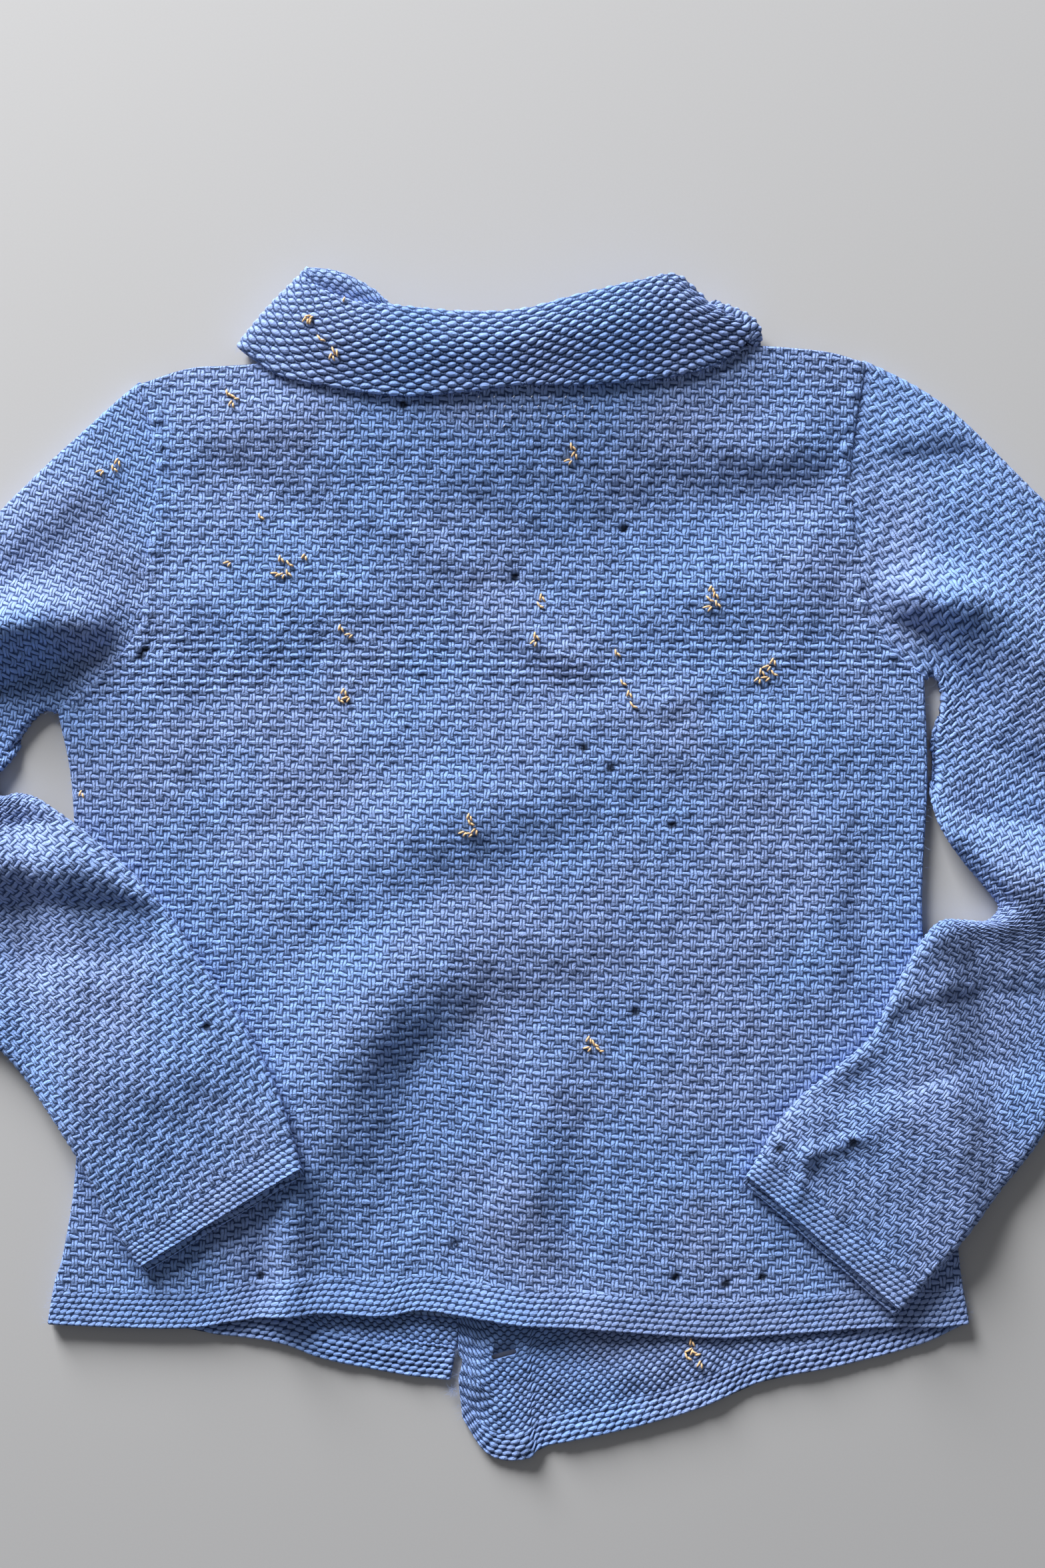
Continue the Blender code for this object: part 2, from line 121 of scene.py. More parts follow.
world = bpy.data.worlds.new("soft_room")
world.use_nodes = True
world.node_tree.nodes["Background"].inputs["Color"].default_value = linear(SKY_WHITE)
world.node_tree.nodes["Background"].inputs["Strength"].default_value = SKY_STRENGTH
bpy.context.scene.world = world
bpy.context.scene.view_settings.view_transform = "Standard"

bpy.ops.object.light_add(type="AREA", location=WINDOW_AT)
window = bpy.context.object
window.data.shape = "SQUARE"
window.data.size = WINDOW_SIZE
window.data.energy = WINDOW_WATTS
window.rotation_euler = (-window.location).to_track_quat("-Z", "Y").to_euler()

bpy.ops.object.camera_add(
    location=((CAMERA_AT[0] + MIDDLE[0]) * MM, (CAMERA_AT[1] + MIDDLE[1]) * MM, CAMERA_AT[2] * MM)
)
camera = bpy.context.object
camera.data.lens = LENS
camera.data.sensor_width = FILM
bpy.context.scene.camera = camera

# The fronts: two panels of blue wool, hand-knitted in the back's stitch and sewn to it at sides and
# shoulders. They lie wrong side up, so small bumps show, and only their lower ends show at all.
# Each ends in a garter border.
WALL = 3.0
STACK = WALL + 0.8
LIFT_RUN = 80.0
LIFT_MARGIN = 8.0
NECK_RISE = 13.5
NECK_RISE_WIDTH = 115.0
SEAM = 0.6
REPEAT = 8.5
LINE = 5.2
RIDGE = 3.45
FRONT_BUMP = 5.0
FRONT_ROW = 2.7
WOBBLE = 0.075
RELIEF = 1.5
PLAIN_RELIEF = 0.5
SUNK = 0.8
FRONT_BORDER = 15.0

SIDE_LEFT = [(-274, 2), (-270, 25), (-264, 47), (-257, 100), (-256, 200), (-259, 315), (-268, 368)]
SIDE_RIGHT = [(274, 2), (269, 31), (267, 50), (256, 145), (246, 242), (249, 326), (247, 388)]
ARMHOLE_LEFT = [
    (-268, 368), (-240, 392), (-222, 415), (-216, 446), (-211, 488), (-211, 530), (-220, 561),
]
ARMHOLE_RIGHT = [
    (247, 388), (232, 400), (220, 415), (211, 447), (206, 478), (204, 517), (212, 574),
]
SHOULDER_LEFT = [(-220, 561), (-189, 570), (-151, 572), (-93, 584)]
SHOULDER_RIGHT = [(104, 588), (124, 584), (146, 583), (189, 580), (212, 574)]
FRONT_HEM_LEFT = [
    (-274, 3), (-196, 0), (-174, -4), (-138, -9), (-110, -19), (-67, -28), (-36, -32),
]
FRONT_EDGE_LEFT = [(-36, -32), (-33, -14), (-31, 6), (-20, 200), (-5, 538)]
NECK_FRONT_LEFT = [(-93, 584), (-76, 568), (-40, 547), (-5, 538)]
FRONT_HEM_RIGHT = [
    (-27, -56), (-15, -74), (-3, -80), (13, -78), (22, -72), (72, -61), (114, -49), (153, -33),
    (199, -24), (245, -12), (274, 1),
]
FRONT_EDGE_RIGHT = [(-27, -56), (-29, -35), (-27, -22), (-29, 5), (-17, 200), (-1, 538)]
NECK_FRONT_RIGHT = [(-1, 538), (40, 547), (80, 567), (104, 588)]
COLLAR_FREE_EDGE_BENEATH = [
    (-155, 581), (-126, 562), (-90, 542), (-50, 529), (-6, 521), (0, 521), (50, 532), (95, 556),
    (124, 574), (142, 587),
]
# Folds: from x and y, to x and y, width, height; a negative height is a trough
FRONT_RIGHT_FOLDS = [
    (-14, -34, 8, -70, 8, 4.0), (0, -40, 24, -72, 8, -1.4), (-14, -6, 50, -22, 10, -1.4),
    (40, -66, 120, -46, 9, 2.0), (70, -30, 180, -18, 12, 1.5),
]
FRONT_LEFT_FOLDS = [(-150, -2, -60, -16, 8, 1.0)]
BUTTONHOLE = (15.0, 3.4)
BUTTONHOLE_AT = (-2.6, -18.0)
BUTTONHOLE_TURN = 0.26
SHOWN_SHARE = 0.15


def with_ends(rows):
    """A table's rows as an array, with one more row in line at each end."""
    p = np.array(rows, float)
    return np.vstack([2 * p[0] - p[1], p, 2 * p[-1] - p[-2]])


def between(a, b, c, d, t):
    """The Catmull-Rom cubic from b to c at share t, where a comes before and d after."""
    return 0.5 * (
        2 * b + (c - a) * t + (2 * a - 5 * b + 4 * c - d) * t**2 + (3 * b - a - 3 * c + d) * t**3
    )


def smooth(rows, at):
    """Points at shares 0 to 1 of the length of the Catmull-Rom curve through a table's rows."""
    p = with_ends(rows)
    t = np.linspace(0, 1, 24, endpoint=False)[None, :, None]
    fine = between(*(p[i : len(p) - 3 + i, None, :] for i in range(4)), t)
    fine = np.vstack([fine.reshape(-1, p.shape[1]), p[-2]])
    run = np.concatenate([[0], np.cumsum(np.linalg.norm(np.diff(fine[:, :2], axis=0), axis=1))])
    return np.stack([np.interp(np.asarray(at) * run[-1], run, f) for f in fine.T], axis=1)


def ramp(value, low, high):
    """0 below low, 1 above high, and a smooth step between them."""
    t = np.clip((value - low) / (high - low), 0, 1)
    return t * t * (3 - 2 * t)


def unit(vectors):
    """The vectors at length one."""
    return vectors / np.maximum(np.linalg.norm(vectors, axis=-1, keepdims=True), 1e-9)


def fold_height(x, y, folds):
    """The folds' heights at x, y: a soft hump across each line, fading at its ends."""
    total = np.zeros(np.shape(x))
    for x0, y0, x1, y1, width, height in folds:
        length = np.hypot(x1 - x0, y1 - y0)
        along = ((x - x0) * (x1 - x0) + (y - y0) * (y1 - y0)) / length
        beyond = np.maximum(np.maximum(-along, along - length), 0)
        across = ((x - x0) * (y1 - y0) - (y - y0) * (x1 - x0)) / length
        total = total + height * np.exp(-((across / width) ** 2) - (beyond / width / 1.8) ** 2)
    return total


def uneven(x, y, size):
    """Hand knitting's unevenness, about -1 to 1: five crossing sine waves near that size in mm."""
    turns = np.array([0.3, 1.1, 2.0, 2.7, 4.0])
    sizes = size * np.array([1.0, 0.73, 1.31, 0.57, 0.87])
    return sum(
        np.sin(2 * np.pi * (x * np.cos(t) + y * np.sin(t)) / s + 5 * t) for t, s in zip(turns, sizes)
    ) / len(turns) * 1.6


def wobbled(uv, x, y):
    """Stitch coordinates, each stitch moved by a small unevenness, as hand knitting has it."""
    return uv + WOBBLE * np.dstack([uneven(x, y, 8.3), 1.8 * uneven(y, x, 10.7)])


def front_level(x, y):
    """The middle of the fronts' wall: on the floor, and lifted where the collar lies beneath.

    Towards the neck the soft roll of the collar bears it a little higher still.
    """
    free = np.array(COLLAR_FREE_EDGE_BENEATH, float)
    below = np.interp(x, free[:, 0], free[:, 1]) - y
    beside = np.maximum(free[0, 0] - x, x - free[-1, 0])
    lifted = STACK * (1 - ramp(np.maximum(below, beside), LIFT_MARGIN, LIFT_RUN))
    roll = NECK_RISE * np.exp(-((x / NECK_RISE_WIDTH) ** 2)) * ramp(y, 464, 578)
    return WALL / 2 + lifted + roll


def shares(edge):
    """How far along an edge each of its points lies, from 0 to 1."""
    run = np.concatenate([[0], np.cumsum(np.linalg.norm(np.diff(edge, axis=0), axis=1))])
    return run / run[-1]


def patch(left, right, bottom, top):
    """The Coons patch between four edges, a row for each side point: the sides' ruled surface plus
    the ends' one, less the bilinear one through the corners."""
    u = np.linspace(0, 1, len(bottom))[None, :, None]
    v = shares(left)[:, None, None]
    across = (1 - u) * left[:, None] + u * right[:, None]
    upward = (1 - v) * bottom[None] + v * top[None]
    corners = (1 - v) * ((1 - u) * bottom[0] + u * bottom[-1]) + v * (
        (1 - u) * top[0] + u * top[-1]
    )
    return across + upward - corners


# Stitch recipes. Each row is a value's name, the sum that makes it and what goes in. u counts
# stitches or repeats across, v counts lines, ridges or rows up, and each recipe ends in height.
def dome(name):
    """The rows that raise one yarn's bump: the root of 1 - x squared - y squared, or 0 outside."""
    return [
        ("xx", "MULTIPLY", "x", "x"), ("yy", "MULTIPLY", "y", "y"), ("rr", "ADD", "xx", "yy"),
        ("left", "SUBTRACT", 1.0, "rr"), ("kept", "MAXIMUM", "left", 0.0),
        (name, "POWER", "kept", 0.5),
    ]


GARTER = [
    ("row", "ROUND", "v"),
    ("b", "SUBTRACT", "v", "row"),
    ("odd", "MODULO", "row", 2.0),
    ("half", "MULTIPLY", "odd", 0.5),
    ("us", "ADD", "u", "half"),
    ("cell", "FRACT", "us"),
    ("a", "SUBTRACT", "cell", 0.5),
    ("lean", "MULTIPLY", "a", 0.36),
    ("bl", "SUBTRACT", "b", "lean"),
    ("x", "MULTIPLY", "a", 1.55),
    ("y", "MULTIPLY", "bl", 2.4),
    *dome("height"),
]
MOSS = [
    ("p", "ADD", "u", "v"),
    ("q", "SUBTRACT", "u", "v"),
    ("p2", "MULTIPLY", "p", 0.5),
    ("q2", "MULTIPLY", "q", 0.5),
    ("pr", "ROUND", "p2"),
    ("qr", "ROUND", "q2"),
    ("pd", "SUBTRACT", "p2", "pr"),
    ("qd", "SUBTRACT", "q2", "qr"),
    ("du", "ADD", "pd", "qd"),
    ("dv", "SUBTRACT", "pd", "qd"),
    ("lean", "MULTIPLY", "du", 0.06),
    ("dl", "SUBTRACT", "dv", "lean"),
    ("x", "MULTIPLY", "du", 1.52),
    ("y", "MULTIPLY", "dl", 1.70),
    *dome("bump"),
    ("dua", "ABSOLUTE", "du"),
    ("k1", "SUBTRACT", "dua", 1.0),
    ("k2", "MULTIPLY", "k1", 2.2),
    ("k3", "MULTIPLY", "k2", "k2"),
    ("k4", "MULTIPLY", "dv", 2.2),
    ("k5", "MULTIPLY", "k4", "k4"),
    ("k6", "ADD", "k3", "k5"),
    ("k7", "SUBTRACT", 1.0, "k6"),
    ("k8", "MAXIMUM", "k7", 0.0),
    ("knot", "MULTIPLY", "k8", 0.55),
    ("height", "MAXIMUM", "bump", "knot"),
]
SUMS = {
    "ROUND": np.rint,
    "SUBTRACT": np.subtract,
    "MODULO": np.mod,
    "MULTIPLY": np.multiply,
    "ADD": np.add,
    "FRACT": lambda x: x % 1,
    "ABSOLUTE": np.abs,
    "MAXIMUM": np.maximum,
    "MINIMUM": np.minimum,
    "POWER": np.power,
    "SIGN": np.sign,
}


def raised(recipe, u, v):
    """A recipe's height at each u and v, 0 in the gaps and 1 on the yarn, averaged over a cell.

    The cell is a grid step wide, so that the mesh carries no finer wave than it can hold.
    """
    steps = [np.hypot(*np.gradient(value)) for value in (u, v)]
    total = 0
    for across in (-0.3, 0.0, 0.3):
        for up in (-0.3, 0.0, 0.3):
            known = {"u": u + across * steps[0], "v": v + up * steps[1]}
            for name, kind, *inputs in recipe:
                known[name] = SUMS[kind](*(known.get(i, i) if isinstance(i, str) else i for i in inputs))
            total = total + known["height"]
    return total / 9


WOOL_BLUE = "#8FB3F5"
WOOL_LILAC = "#99B1E9"
# The gaps' colour: painted shade, where the yarn dips between the stitches and plies
WOOL_GAP_SHADE = "#2A3F6B"
WOOL_SHEEN = "#C3D3F6"
PLY_TURNS = (11.0, -4.2)
PLY_DEPTH = 0.03
FIBRE = 0.9
FIBRE_DEPTH = 0.42
HAIRINESS = 1.0
WOOL_RELIEF = 0.0008
TONE_SPOT = 4.5
FADED_PATCH = 110.0
# Plies turn round the yarn and fibres roughen it, in its bump and, weaker, as painted shade in its colour
YARN = [
    ("turns_u", "MULTIPLY", "repeat", PLY_TURNS[0]),
    ("turns", "MULTIPLY_ADD", "v", PLY_TURNS[1], "turns_u"),
    ("angle", "MULTIPLY", "turns", 2 * np.pi),
    ("plies", "SINE", "angle"),
    ("plied", "MULTIPLY_ADD", "plies", PLY_DEPTH, "height"),
    ("rough", "MULTIPLY_ADD", "fibres", FIBRE_DEPTH, "plied"),
    ("hairy", "MULTIPLY_ADD", "fibres", HAIRINESS, "plied"),
]


def wool(name, recipe, stitches_per_u):
    """Hand-knitted woollen yarn: matt, with painted shade between the stitches, uneven in tone, faintly
    fuzzy.

    The recipe's height darkens the gaps as painted shade and, with the yarn's plies and fibres, makes the
    bump.
    """
    material, tree, shader = new_material(name)
    place = add(tree, "ShaderNodeTexCoord").outputs["Object"]
    stitches = add(tree, "ShaderNodeUVMap", uv_map="stitches").outputs["UV"]
    at = add(tree, "ShaderNodeSeparateXYZ", {"Vector": stitches}).outputs
    fibres, spots, patches = (
        add(
            tree, "ShaderNodeTexNoise", {"Vector": place, "Scale": 1 / (size * MM), "Detail": 3.0}
        ).outputs["Fac"]
        for size in (FIBRE, TONE_SPOT, FADED_PATCH)
    )
    known = {"repeat": at["X"], "v": at["Y"], "fibres": fibres}
    for value, kind, *inputs in [("u", "MULTIPLY", "repeat", stitches_per_u), *recipe, *YARN]:
        filled = {i: known.get(x, x) if isinstance(x, str) else x for i, x in enumerate(inputs)}
        known[value] = add(tree, "ShaderNodeMath", filled, operation=kind).outputs[0]
    faded = add(
        tree, "ShaderNodeMapRange", {"Value": patches, "From Min": 0.42, "From Max": 0.60}
    ).outputs["Result"]
    yarn = add(
        tree, "ShaderNodeMix", {"Factor": faded, "A": linear(WOOL_BLUE), "B": linear(WOOL_LILAC)},
        data_type="RGBA",
    ).outputs["Result"]
    # Painted shade: the lower the yarn's height, the more of the dark gaps' colour
    lit = add(
        tree, "ShaderNodeMapRange", {"Value": known["rough"], "From Min": 0.08, "From Max": 0.98},
        interpolation_type="SMOOTHSTEP",
    ).outputs["Result"]
    gaps = add(
        tree, "ShaderNodeMix", {"Factor": lit, "A": linear(WOOL_GAP_SHADE), "B": yarn}, data_type="RGBA",
    ).outputs["Result"]
    hole = add(tree, "ShaderNodeAttribute", attribute_name="hole").outputs["Fac"]
    tone = add(
        tree, "ShaderNodeMapRange",
        {"Value": spots, "From Min": 0.3, "From Max": 0.7, "To Min": 0.80, "To Max": 1.16},
    ).outputs["Result"]
    # Painted shade in the small holes: darkened as the layer below them lies in shadow
    hole_painted_shade = add(
        tree, "ShaderNodeMapRange",
        {"Value": hole, "From Min": 0.15, "From Max": 0.5, "To Min": 1.0, "To Max": 0.2},
    ).outputs["Result"]
    # Random tone, times the holes' painted shade
    shade = add(tree, "ShaderNodeMath", {0: tone, 1: hole_painted_shade}, operation="MULTIPLY").outputs[0]
    colour = add(
        tree, "ShaderNodeMix", {"Factor": 1.0, "A": gaps, "B": shade}, data_type="RGBA",
        blend_type="MULTIPLY",
    ).outputs["Result"]
    tree.links.new(colour, shader.inputs["Base Color"])
    bump = add(tree, "ShaderNodeBump", {"Strength": 1.0, "Distance": WOOL_RELIEF, "Height": known["hairy"]})
    tree.links.new(bump.outputs["Normal"], shader.inputs["Normal"])
    shader.inputs["Roughness"].default_value = 0.92
    shader.inputs["Specular IOR Level"].default_value = 0.08
    shader.inputs["Sheen Weight"].default_value = 0.30
    shader.inputs["Sheen Roughness"].default_value = 0.5
    shader.inputs["Sheen Tint"].default_value = linear(WOOL_SHEEN)
    return material


garter_wool = wool("garter_stitch_wool", GARTER, 2.0)
moss_wool = wool("moss_stitch_wool", MOSS, 2.0)
front_garter_wool = wool("garter_stitch_wool_front", GARTER, 1.0)


def new_piece(name, mesh):
    """A mesh as an object, shaded smooth."""
    mesh.shade_smooth()
    piece = bpy.data.objects.new(name, mesh)
    bpy.context.scene.collection.objects.link(piece)
    return piece


def knit_mesh(name, points, uv, slots, holes=None, open_ends=False):
    """A piece from a grid of points in mm, welded where its last column meets its first.

    Each slot is a wool and its first row, and reads its own pair of the uv's channels.
    """
    rows, columns = points.shape[:2]
    index = np.arange(rows * columns).reshape(rows, columns)
    faces = np.stack(
        [index[:-1, :-1], index[:-1, 1:], index[1:, 1:], index[1:, :-1]], axis=-1
    ).reshape(-1, 4)
    flat = points.reshape(-1, 3).copy()
    flat[:, :2] += MIDDLE
    flat[:, 2] = np.maximum(flat[:, 2], 0)
    mesh = bpy.data.meshes.new(name)
    mesh.from_pydata(flat * MM, [], faces.tolist())
    if holes is not None:
        # The holes' mask, which the wool reads for their painted shade
        mesh.attributes.new("hole", "FLOAT", "POINT").data.foreach_set("value", holes.ravel())
    zones = np.zeros(rows - 1, int)
    for zone, (material, first_row) in enumerate(slots):
        mesh.materials.append(material)
        zones[first_row:] = zone
    zones = np.repeat(zones, columns - 1)
    mesh.polygons.foreach_set("material_index", zones)
    pairs = uv.reshape(len(flat), -1, 2)[faces, zones[:, None]]
    mesh.uv_layers.new(name="stitches").data.foreach_set("uv", pairs.ravel())
    bm = bmesh.new()
    bm.from_mesh(mesh)
    bmesh.ops.remove_doubles(bm, verts=bm.verts, dist=0.000001)
    if not open_ends:
        bmesh.ops.holes_fill(bm, edges=[e for e in bm.edges if e.is_boundary], sides=0)
    bmesh.ops.recalc_face_normals(bm, faces=bm.faces)
    bm.to_mesh(mesh)
    bm.free()
    return new_piece(name, mesh)


def wall_grid(mid, relief, uv, few, side=1):
    """A wall's closed rings round its middle surface, row by row, as points and their uv.

    A ring is the face that shows, half a wall out plus the relief, a half circle round one edge,
    the plain back at a few columns, and the other edge. Both end rows close in quarter circles.
    """
    half = WALL / 2
    across, along = np.gradient(mid, axis=1), np.gradient(mid, axis=0)
    out = unit(np.cross(across, along)) * side
    face = mid + out * (half + relief - SUNK)[..., None]
    turn = np.linspace(0, np.pi, 7)[1:-1, None]
    edge_right = mid[:, -1:] + half * (
        unit(across[:, -1:]) * np.sin(turn) + out[:, -1:] * np.cos(turn)
    )
    edge_left = mid[:, :1] + half * (-unit(across[:, :1]) * np.sin(turn) + out[:, :1] * np.cos(turn))
    back = (mid - out * half)[:, few[::-1]]
    ring = np.concatenate([face, edge_right, back, edge_left[:, ::-1], face[:, :1]], axis=1)
    last = mid.shape[1] - 1
    five = len(turn)
    column = np.concatenate([np.arange(last + 1), [last] * five, few[::-1], [0] * five, [0]])
    ring_mid, ring_along, ring_uv = mid[:, column], unit(along)[:, column], uv[:, column].copy()
    step = (uv[:, 1:2] - uv[:, :1]) * 0.5
    spread = np.arange(1, five + 1)[None, :, None]
    ring_uv[:, last + 1 : last + 1 + five] += step * spread
    ring_uv[:, -1 - five : -1] -= (step * spread)[:, ::-1]
    close = np.linspace(0, np.pi / 2, 5)[1:, None, None]
    offset = ring - ring_mid
    start = ring_mid[0] + offset[0] * np.cos(close) - ring_along[0] * half * np.sin(close)
    end = ring_mid[-1] + offset[-1] * np.cos(close) + ring_along[-1] * half * np.sin(close)
    points = np.concatenate([start[::-1], ring, end])
    rise = (ring_uv[1] - ring_uv[0])[None] * np.arange(1, 5)[:, None, None] * 0.4
    fall = (ring_uv[-1] - ring_uv[-2])[None] * np.arange(1, 5)[:, None, None] * 0.4
    return points, np.concatenate([ring_uv[0] - rise[::-1], ring_uv, ring_uv[-1] + fall])


END_ROWS = 4
tops = {}


def lies_on(piece, node):
    """What every knitted piece has: it rides on the one body and stands for its node."""
    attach(piece, "root")
    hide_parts(node)


def front(name, side, opening, hem, neck_edges, folds, on_left):
    """A front: its patch with fine rows near the hem, moss bumps and a garter border."""
    shown = np.linspace(0, SHOWN_SHARE, 52)
    hidden = np.linspace(SHOWN_SHARE, 1, 22)[1:]
    armhole = ARMHOLE_LEFT if on_left else ARMHOLE_RIGHT
    edge = smooth(side, np.concatenate([shown, hidden]))
    edge = np.vstack([edge, smooth(armhole, np.linspace(0, 1, 12))[1:]])
    facing = smooth(opening, shares(edge))
    left, right = (edge, facing) if on_left else (facing, edge)
    count = int(round(np.ptp([row[0] for row in hem]) / FRONT_BUMP * 4))
    bottom = smooth(hem, np.linspace(0, 1, count))
    first, second = neck_edges
    top = np.vstack(
        [
            smooth(first, np.linspace(0, 1, count // 2)),
            smooth(second, np.linspace(0, 1, count - count // 2 + 1))[1:],
        ]
    )
    plan = patch(left, right, bottom, top)
    x, y = plan[..., 0], plan[..., 1]
    level = front_level(x, y) + fold_height(x, y, folds) + 0.5 * (uneven(x, y, 34) + 1)
    run = np.cumsum(np.linalg.norm(np.diff(plan, axis=0, prepend=plan[:1]), axis=2), axis=0)
    u = np.broadcast_to(np.arange(count) / 4, x.shape)
    garter = wobbled(np.dstack([u, run / RIDGE]), x, y)
    moss = wobbled(np.dstack([x / FRONT_BUMP, run / FRONT_ROW]), x, y)
    border = run < FRONT_BORDER
    relief = np.where(
        border, raised(GARTER, garter[..., 0], garter[..., 1]),
        raised(MOSS, moss[..., 0] * 2, moss[..., 1]),
    )
    relief = np.where(np.arange(len(edge))[:, None] < len(shown), relief, PLAIN_RELIEF)
    mid = np.dstack([plan, level])
    few = np.linspace(0, count - 1, 16).astype(int)
    points, ring_uv = wall_grid(mid, relief * RELIEF, np.dstack([garter, moss]), few)
    rows = int(border[:, count // 2].sum())
    slots = [(front_garter_wool, 0), (moss_wool, rows + END_ROWS)]
    piece = knit_mesh(name, points, ring_uv, slots)
    tops[name] = mid + [0, 0, WALL / 2]
    return piece


front_left = front(
    "front_left_knit",
    SIDE_LEFT,
    FRONT_EDGE_LEFT,
    FRONT_HEM_LEFT,
    (SHOULDER_LEFT, NECK_FRONT_LEFT),
    FRONT_LEFT_FOLDS,
    True,
)
lies_on(front_left, "front_left")
front_right = front(
    "front_right_knit",
    SIDE_RIGHT,
    FRONT_EDGE_RIGHT,
    FRONT_HEM_RIGHT,
    (NECK_FRONT_RIGHT, SHOULDER_RIGHT),
    FRONT_RIGHT_FOLDS,
    False,
)


def cut_buttonhole(piece):
    """Cuts the slit through the front: a flat-sided prism with round ends, taken away."""
    long, wide = BUTTONHOLE
    turn = np.linspace(0, 2 * np.pi, 32, endpoint=False)
    x = wide / 2 * np.cos(turn) + np.sign(np.cos(turn)) * (long - wide) / 2
    y = wide / 2 * np.sin(turn)
    c, s = np.cos(BUTTONHOLE_TURN), np.sin(BUTTONHOLE_TURN)
    plan = np.stack([x * c - y * s, x * s + y * c], axis=1) + BUTTONHOLE_AT + MIDDLE
    low, high = (np.column_stack([plan, np.full(len(plan), z)]) for z in (-5.0, 15.0))
    n = len(plan)
    ring = np.arange(n)
    sides = np.stack([ring, (ring + 1) % n, (ring + 1) % n + n, ring + n], axis=1).tolist()
    mesh = bpy.data.meshes.new("slit")
    mesh.from_pydata(np.vstack([low, high]) * MM, [], sides + [ring[::-1].tolist(), (ring + n).tolist()])
    cutter = bpy.data.objects.new("slit", mesh)
    bpy.context.scene.collection.objects.link(cutter)
    cut = piece.modifiers.new("buttonhole", "BOOLEAN")
    cut.operation, cut.object, cut.solver = "DIFFERENCE", cutter, "EXACT"
    bpy.context.view_layer.objects.active = piece
    bpy.ops.object.modifier_apply(modifier=cut.name)
    bpy.data.objects.remove(cutter)


cut_buttonhole(front_right)
lies_on(front_right, "front_right")

# The back: one panel of the same wool in half-linen stitch, where every second stitch is slipped
# with the yarn in front, so short floats lie across the legs like woven cloth. Its hem is a garter
# border, and its sides are sewn to the fronts.
NECK_BACK = [(-93, 584), (-65, 577), (0, 573), (70, 578), (104, 588)]
BACK_HEM = [
    (-274, 2), (-228, 0), (-188, 0), (-156, 5), (-112, 9), (-76, 7), (-49, 10), (4, 2), (38, 0),
    (114, -6), (153, -5), (222, 0), (256, 0), (274, 2),
]
BACK_FOLDS = [
    (-125, 95, -112, 145, 36, 4.0), (-112, 145, -70, 205, 38, 4.6), (-70, 205, 5, 226, 32, 4.2),
    (-98, 120, -84, 175, 20, 1.8), (-84, 175, -45, 206, 20, 1.8), (-66, 90, -60, 150, 16, -2.0),
    (-60, 150, -20, 188, 16, -1.6), (-110, 268, -45, 300, 28, 4.2), (-45, 300, 10, 312, 24, 3.6),
    (-90, 340, -40, 350, 30, 2.2), (10, 80, 24, 142, 20, 3.8), (-46, 70, -20, 30, 13, -2.0),
    (36, 66, 40, 20, 15, -2.4), (-127, 80, -132, 10, 11, 4.4), (-147, 60, -148, 20, 9, -2.5),
    (-128, 8, -90, 8, 15, 3.0), (-16, 2, 36, 0, 20, 4.0), (5, 413, 34, 400, 12, 3.0),
    (42, 361, 101, 374, 10, 1.2), (101, 374, 160, 398, 10, 1.2), (60, 346, 175, 352, 24, 2.0),
    (-7, 443, 18, 440, 9, -1.6), (-60, 470, -20, 450, 16, 2.0), (-150, 470, -100, 440, 22, 2.4),
    (190, 296, 195, 226, 16, 2.6), (211, 262, 209, 222, 12, -1.8), (150, 522, 200, 530, 20, 4.5),
    (140, 497, 200, 504, 16, -3.0), (130, 440, 200, 446, 30, 4.5), (-190, 528, -140, 540, 20, 2.8),
    (-185, 430, -150, 425, 24, 3.0), (-180, 400, -176, 300, 14, -1.5),
    (-130, 520, -60, 470, 26, 2.5),
]
# Small holes in the back: x, y
BACK_HOLES = [
    (-62, 548), (69, 476), (4, 447), (61, 333), (45, 345), (-217, 404), (-219, 400), (-148, 30),
    (-32, 48), (130, 25), (152, 29), (100, 29), (76, 187), (98, 299),
]
HOLE_SIZE = 2.3
HOLE_DEPTH = 2.5
BACK_REPEATS = 60
SIDE_LINES = 70
ARMHOLE_LINES = 37
ROWS_PER_LINE = 3
BORDER_ROWS = 11
SEAM_LUMP = 11.0
SEAM_LUMP_HEIGHT = 1.6
SEAM_LUMP_IN = 3.5

